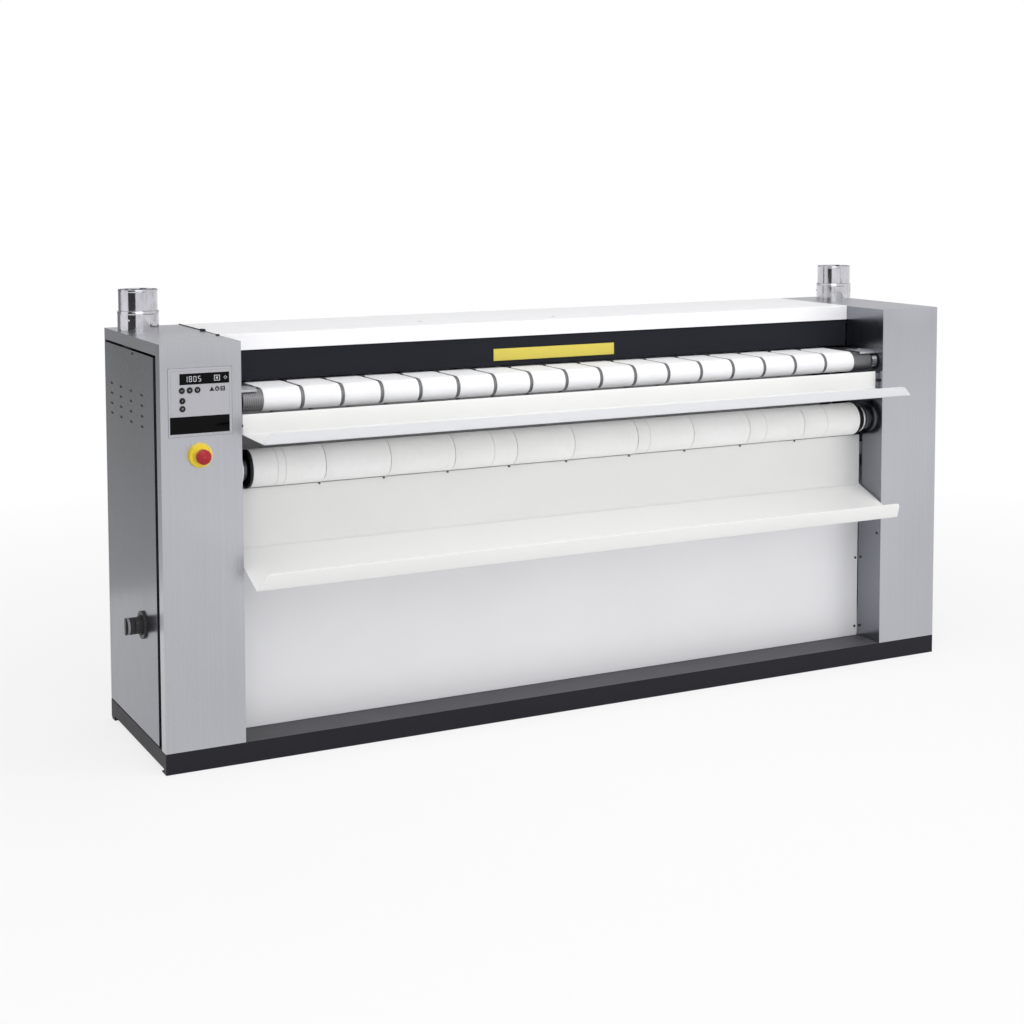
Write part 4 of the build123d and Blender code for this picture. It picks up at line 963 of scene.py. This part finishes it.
# small parts: the guard's plain strip, the switch's ring, the top cover's seal and plugs, a side screw
trim = {
    "guardStrip": (-204, 208, 1024.5, 1060),  # x from, x to, z from, z to
    "guardFace": -17,
    "guardStripSize": (0.25, 0.1),  # proud, softened edge
    "switchRing": (-1311, -3, 358),
    "ringLine": [(0, 22.5), (0, 23.3), (0.5, 23.7), (5.5, 23.7), (6, 23.3), (6, 22.5)],
    "sealBlocks": [  # low corner, high corner, softened edge
        ((-1047.2, 112, 1139.9), (-1043.6, 354, 1142.2), 0.6),
        ((-1046, -16, 1139.9), (-1044.4, 112, 1141), 0.3),
        ((-1054, 108, 1139.9), (-1042, 130, 1146), 1.4),
        ((-1056, -34, 1139.9), (-1047, -22, 1143.5), 1),
    ],
    "plugs": [(-385, 107, 1140), (40, 63, 1140)],
    "plugLine": [(0, 0), (0, 6), (0.7, 5.6), (0.9, 4.6), (0.9, 0)],
    "sideScrew": (-1265, 61, 1093),
    "sideScrewSize": (3.6, 1.8),  # radius, height
}


def makeTrim():
    strip, ring, seal, plugs, screw = (bmesh.new() for _ in range(5))
    flatBars(strip, [trim["guardStrip"]], trim["guardFace"], *trim["guardStripSize"])
    keep("guardStrip", strip, "stripYellow", "guard_paint", body="hand_guard")

    turnProfile(ring, trim["ringLine"], trim["switchRing"], (1, 0, 0))
    closeShell(ring)
    keep("switchRing", ring, "ringGrey", "handle_black", body="main_switch_handle")

    for low, high, soften in trim["sealBlocks"]:
        addBlock(seal, low, high, soften)
    keep("coverSeal", seal, "sealRubber", "belt_rubber")

    for place in trim["plugs"]:
        turnProfile(plugs, trim["plugLine"], place, (0, 0, 1), 32, False)
    closeShell(plugs)
    keep("coverPlugs", plugs, "plugGrey", "white_paint")

    socketHead(screw, trim["sideScrew"], (-1, 0, 0), *trim["sideScrewSize"])
    keep("sideCoverScrew", screw, "screwBlack", "screw_black")


# folded straps over the bare ends of the front feed roller, each held by a screw
endBrackets = {
    "reach": 58,
    "depth": (-161.5, -89),
    "height": (1003.5, 1005),
    "lipFoot": 996.5,
    "lipThickness": 1.5,
    "screwReach": 12,
    "screwDepth": -98,
    "screwSize": (3.4, 2),  # radius, height
}


def makeEndBrackets():
    mesh = bmesh.new()
    (y0, y1), (z0, z1) = endBrackets["depth"], endBrackets["height"]
    for wall, away in innerWalls:
        x0, x1 = sorted((wall, wall + away * endBrackets["reach"]))
        addBlock(mesh, (x0, y0, z0), (x1, y1, z1), 0.4)
        addBlock(mesh, (x0, y0, endBrackets["lipFoot"]), (x1, y0 + endBrackets["lipThickness"], z1), 0.4)
        place = (wall + away * endBrackets["screwReach"], endBrackets["screwDepth"], z1)
        socketHead(mesh, place, (0, 0, 1), *endBrackets["screwSize"])
    keep("endStraps", mesh, "strapSteel", "bed_steel", 30, "belt_end_brackets")


# thin fly screens just behind the side covers' slots
ventScreens = {
    "covers": ((-1265, 1), (1315, -1)),  # x of each cover and the way inwards
    "behind": (1.7, 2.5),
    "depth": (-60, 311),
    "height": (892, 1001),
}


def makeVentScreens():
    mesh = bmesh.new()
    (near, far), (y0, y1), (z0, z1) = (ventScreens[k] for k in ("behind", "depth", "height"))
    for cover, inward in ventScreens["covers"]:
        x0, x1 = sorted((cover + inward * near, cover + inward * far))
        addBlock(mesh, (x0, y0, z0), (x1, y1, z1), 0.2)
    keep("ventScreens", mesh, "screenSteel", "cover_stainless")


makeTrim()
makeEndBrackets()
makeVentScreens()
print("small parts made")


# trough and chute: folded sheets with rounded, mitred lips and a hem along each
sheets = {
    "feedTrough": {
        "line": [(-181, 940), (-181, 886), (-353, 882.5), (-344, 908.6)],  # y, z down to the lip
        "ends": (-1035, 1085),
        "mitre": 17,
        "fold": 2,
        "corner": 8,
        "hem": ((-344.1, 906.9), (-339.1, 908.6)),
        "node": "feed_trough",
        "look": "troughPaint",
    },
    "outletChute": {
        "line": [(-98, 724), (-98, 563), (-292, 485), (-324, 536)],
        "ends": (-1038, 1088.5),
        "mitre": 16,
        "fold": 6,
        "corner": 12,
        "hem": ((-324.2, 534.4), (-320.4, 535.9)),
        "node": "chute",
        "look": "warmWhitePaint",
    },
}
sheetThickness = 1.5


def makeSheet(name, facts):
    mesh = bmesh.new()
    x0, x1 = facts["ends"]
    inset = facts["mitre"]
    last = len(facts["line"]) - 1
    rows = []
    for index, (y, z) in enumerate(facts["line"]):
        shift = inset if index == last else 0.0
        rows.append([mesh.verts.new(Vector((x, y, z)) * mm) for x in (x0 + shift, x1 - shift)])
    for upper, lower in zip(rows, rows[1:]):
        mesh.faces.new((upper[0], lower[0], lower[1], upper[1]))
    ops.bevel(
        mesh, geom=list(rows[-1]), offset=facts["corner"] * mm, segments=5, profile=0.5, material=-1,
        affect="VERTICES", clamp_overlap=True,
    )
    folds = [e for e in mesh.edges if len(e.link_faces) == 2]
    softenEdges(mesh, folds, facts["fold"] * mm, 4)
    faceOut(mesh)
    face = max(mesh.faces, key=lambda f: f.calc_center_median().z)
    if face.normal.y > 0:
        ops.reverse_faces(mesh, faces=mesh.faces)
    thicken(mesh, sheetThickness)
    (y0, z0), (y1, z1) = facts["hem"]
    reach = inset + facts["corner"]
    addBlock(mesh, (x0 + reach, y0, z0), (x1 - reach, y1, z1), 0.5)
    keep(name, mesh, facts["look"], "warm_white_paint", 40, facts["node"])


for sheetName, sheetFacts in sheets.items():
    makeSheet(sheetName, sheetFacts)
print("trough and chute made")


# the return roller's ends: dished discs, bearing cups with a bright lip, and proud rings on the cups
rollerEnds = {
    "axis": (-103, 780),
    "inner": {-1: -996, 1: 1046},  # x of the discs' inner faces, by side
    "disc": [
        (0, 15), (0, 51), (1.2, 52.6), (6.4, 53.2), (8, 52.4), (8, 46), (5.5, 44), (5.5, 22), (9, 20),
        (9, 15),
    ],
    "journal": [(8, 0), (8, 15), (73, 15), (73, 0)],
    "cup": [
        (11, 25), (11, 29), (12, 30), (13, 30), (40, 30), (41, 30), (41, 37), (42, 38), (48, 38), (49, 37),
        (49, 18), (43, 18), (43, 25),
    ],
    "ring": [(23, 29.5), (23, 39), (24, 43), (26, 44.5), (29, 44.5), (31, 43), (32, 39), (32, 29.5)],
}


def makeRollerEnds():
    discs, cups, rings = bmesh.new(), bmesh.new(), bmesh.new()
    y, z = rollerEnds["axis"]
    shapes = ((discs, "disc"), (discs, "journal"), (cups, "cup"), (rings, "ring"))
    for side, inner in rollerEnds["inner"].items():
        for mesh, part in shapes:
            closed = part != "journal"
            turnProfile(mesh, rollerEnds[part], (inner, y, z), (side, 0, 0), 64, closed)
    for mesh in (discs, cups, rings):
        closeShell(mesh)
    keep("returnDiscs", discs, "discPaint", "disc_paint", 40, "return_roller_discs", body="return_roller")
    # the cups wear painted shade, a dark, dull copy of their chrome
    keep("returnCups", cups, "cupDark", "cup_chrome", 40, "return_roller_bearings")
    keep("returnRings", rings, "ringChrome", "cup_chrome")


makeRollerEnds()


def makeGuides():
    # pegs that keep neighbouring belts apart
    mesh = bmesh.new()
    for belt in (feedBelts, ironingBelts):
        half, (y0, y1), (z0, z1) = belt["peg"]
        for cut in belt["cuts"][1:-1]:
            x = cut - belt["gap"] / 2
            addBlock(mesh, (x - half, y0, z0), (x + half, y1, z1), 1)
    keep("beltGuides", mesh, "switchBlack", "switch_black", 30)


makeGuides()
print("roller ends and belt guides made")


# studio: a pale floor that stays white to the camera, soft lamps, and cards for the metal to reflect
studio = {
    "floorTone": (0.84, 0.84, 0.84, 1.0),
    "floorWhite": 0.78,  # share of plain white near the object, all of it further out
    "floorFade": (1.6, 4.0),
    "floorSize": 20,
    "floorDrop": 0.0005,
    "roomLight": 0.56,
    "cards": {
        # only reflections see these: low corner, high corner, grey at the foot and at the top
        "leftCard": ((-3.2, 1.60, 0.06), (-1.45, 1.62, 2.2), 0.56, 0.26),
        "backCard": ((-1.1, 3.2, 1.16), (6.0, 3.22, 2.7), 0.68, 0.62),
        "flag": ((-3.30, -3.30, 0.6), (-3.10, -0.40, 2.6), 0.05, 0.08),
    },
    "lamps": {
        # name: place, aimed at, width, height, watts, seen in reflections
        "keyLamp": ((-1.6, -3.6, 3.4), (0.0, 0.0, 0.7), 3.0, 2.2, 44, True),
        "topLamp": ((0.3, -1.5, 3.5), (0.0, 0.0, 0.6), 3.4, 2.0, 46, False),
        "sideLamp": ((3.6, -3.4, 1.2), (0.6, 0.0, 0.4), 2.0, 1.6, 26, False),
        "lowLamp": ((0.1, -5.2, 0.35), (0.3, 0.0, 0.3), 6.0, 0.6, 28, False),
    },
}


def setStudio():
    world = bpy.data.worlds.new("studioRoom")
    scene.world = world
    room = Wiring(world, "World")
    strength = room.level(room.backdropRays(), 0.0, 1.0, studio["roomLight"], 1.0)
    room.show(room.node("Background", inputs={"Color": (1, 1, 1, 1), "Strength": strength}))

    mesh = bmesh.new()
    ops.create_grid(mesh, x_segments=1, y_segments=1, size=studio["floorSize"])
    ops.translate(mesh, verts=mesh.verts, vec=(0, 0, -studio["floorDrop"]))
    paper = Look("floorPaper", Base_Color=studio["floorTone"], Roughness=0.9, Specular_IOR_Level=0.1)
    reach = paper.node("VectorMath", {"operation": "LENGTH"}, {0: paper.place}, "Value")
    white = paper.level(reach, *studio["floorFade"], studio["floorWhite"], 1.0)
    lit = Value(paper, paper.shader.outputs[0])
    share = paper.backdropRays() * white
    paper.show(paper.node("MixShader", inputs={0: share, 1: lit, 2: paper.glow(1.0)}))
    placeMesh("studioFloor", mesh, paper)

    for name, (low, high, foot, top) in studio["cards"].items():
        mesh = bmesh.new()
        ops.create_cube(mesh, size=1, matrix=blockShape(Vector(low), Vector(high)))
        cloth = Look(name + "Cloth")
        cloth.show(cloth.glow(cloth.level(cloth.axis(2), low[2], low[2] + 1.0, foot, top)))
        card = placeMesh(name, mesh, cloth)
        card.visible_camera = card.visible_diffuse = card.visible_shadow = False
        card.visible_transmission = False

    for name, (place, aim, width, height, watts, mirrored) in studio["lamps"].items():
        lamp = bpy.data.lights.new(name, "AREA")
        lamp.shape = "RECTANGLE"
        lamp.size, lamp.size_y, lamp.energy = width, height, watts
        holder = bpy.data.objects.new(name, lamp)
        scene.collection.objects.link(holder)
        facing = (Vector(aim) - Vector(place)).to_track_quat("-Z", "Y")
        holder.matrix_world = Matrix.Translation(place) @ facing.to_matrix().to_4x4()
        holder.visible_glossy = mirrored
    scene.view_settings.view_transform = "Standard"


setStudio()
print("studio set")
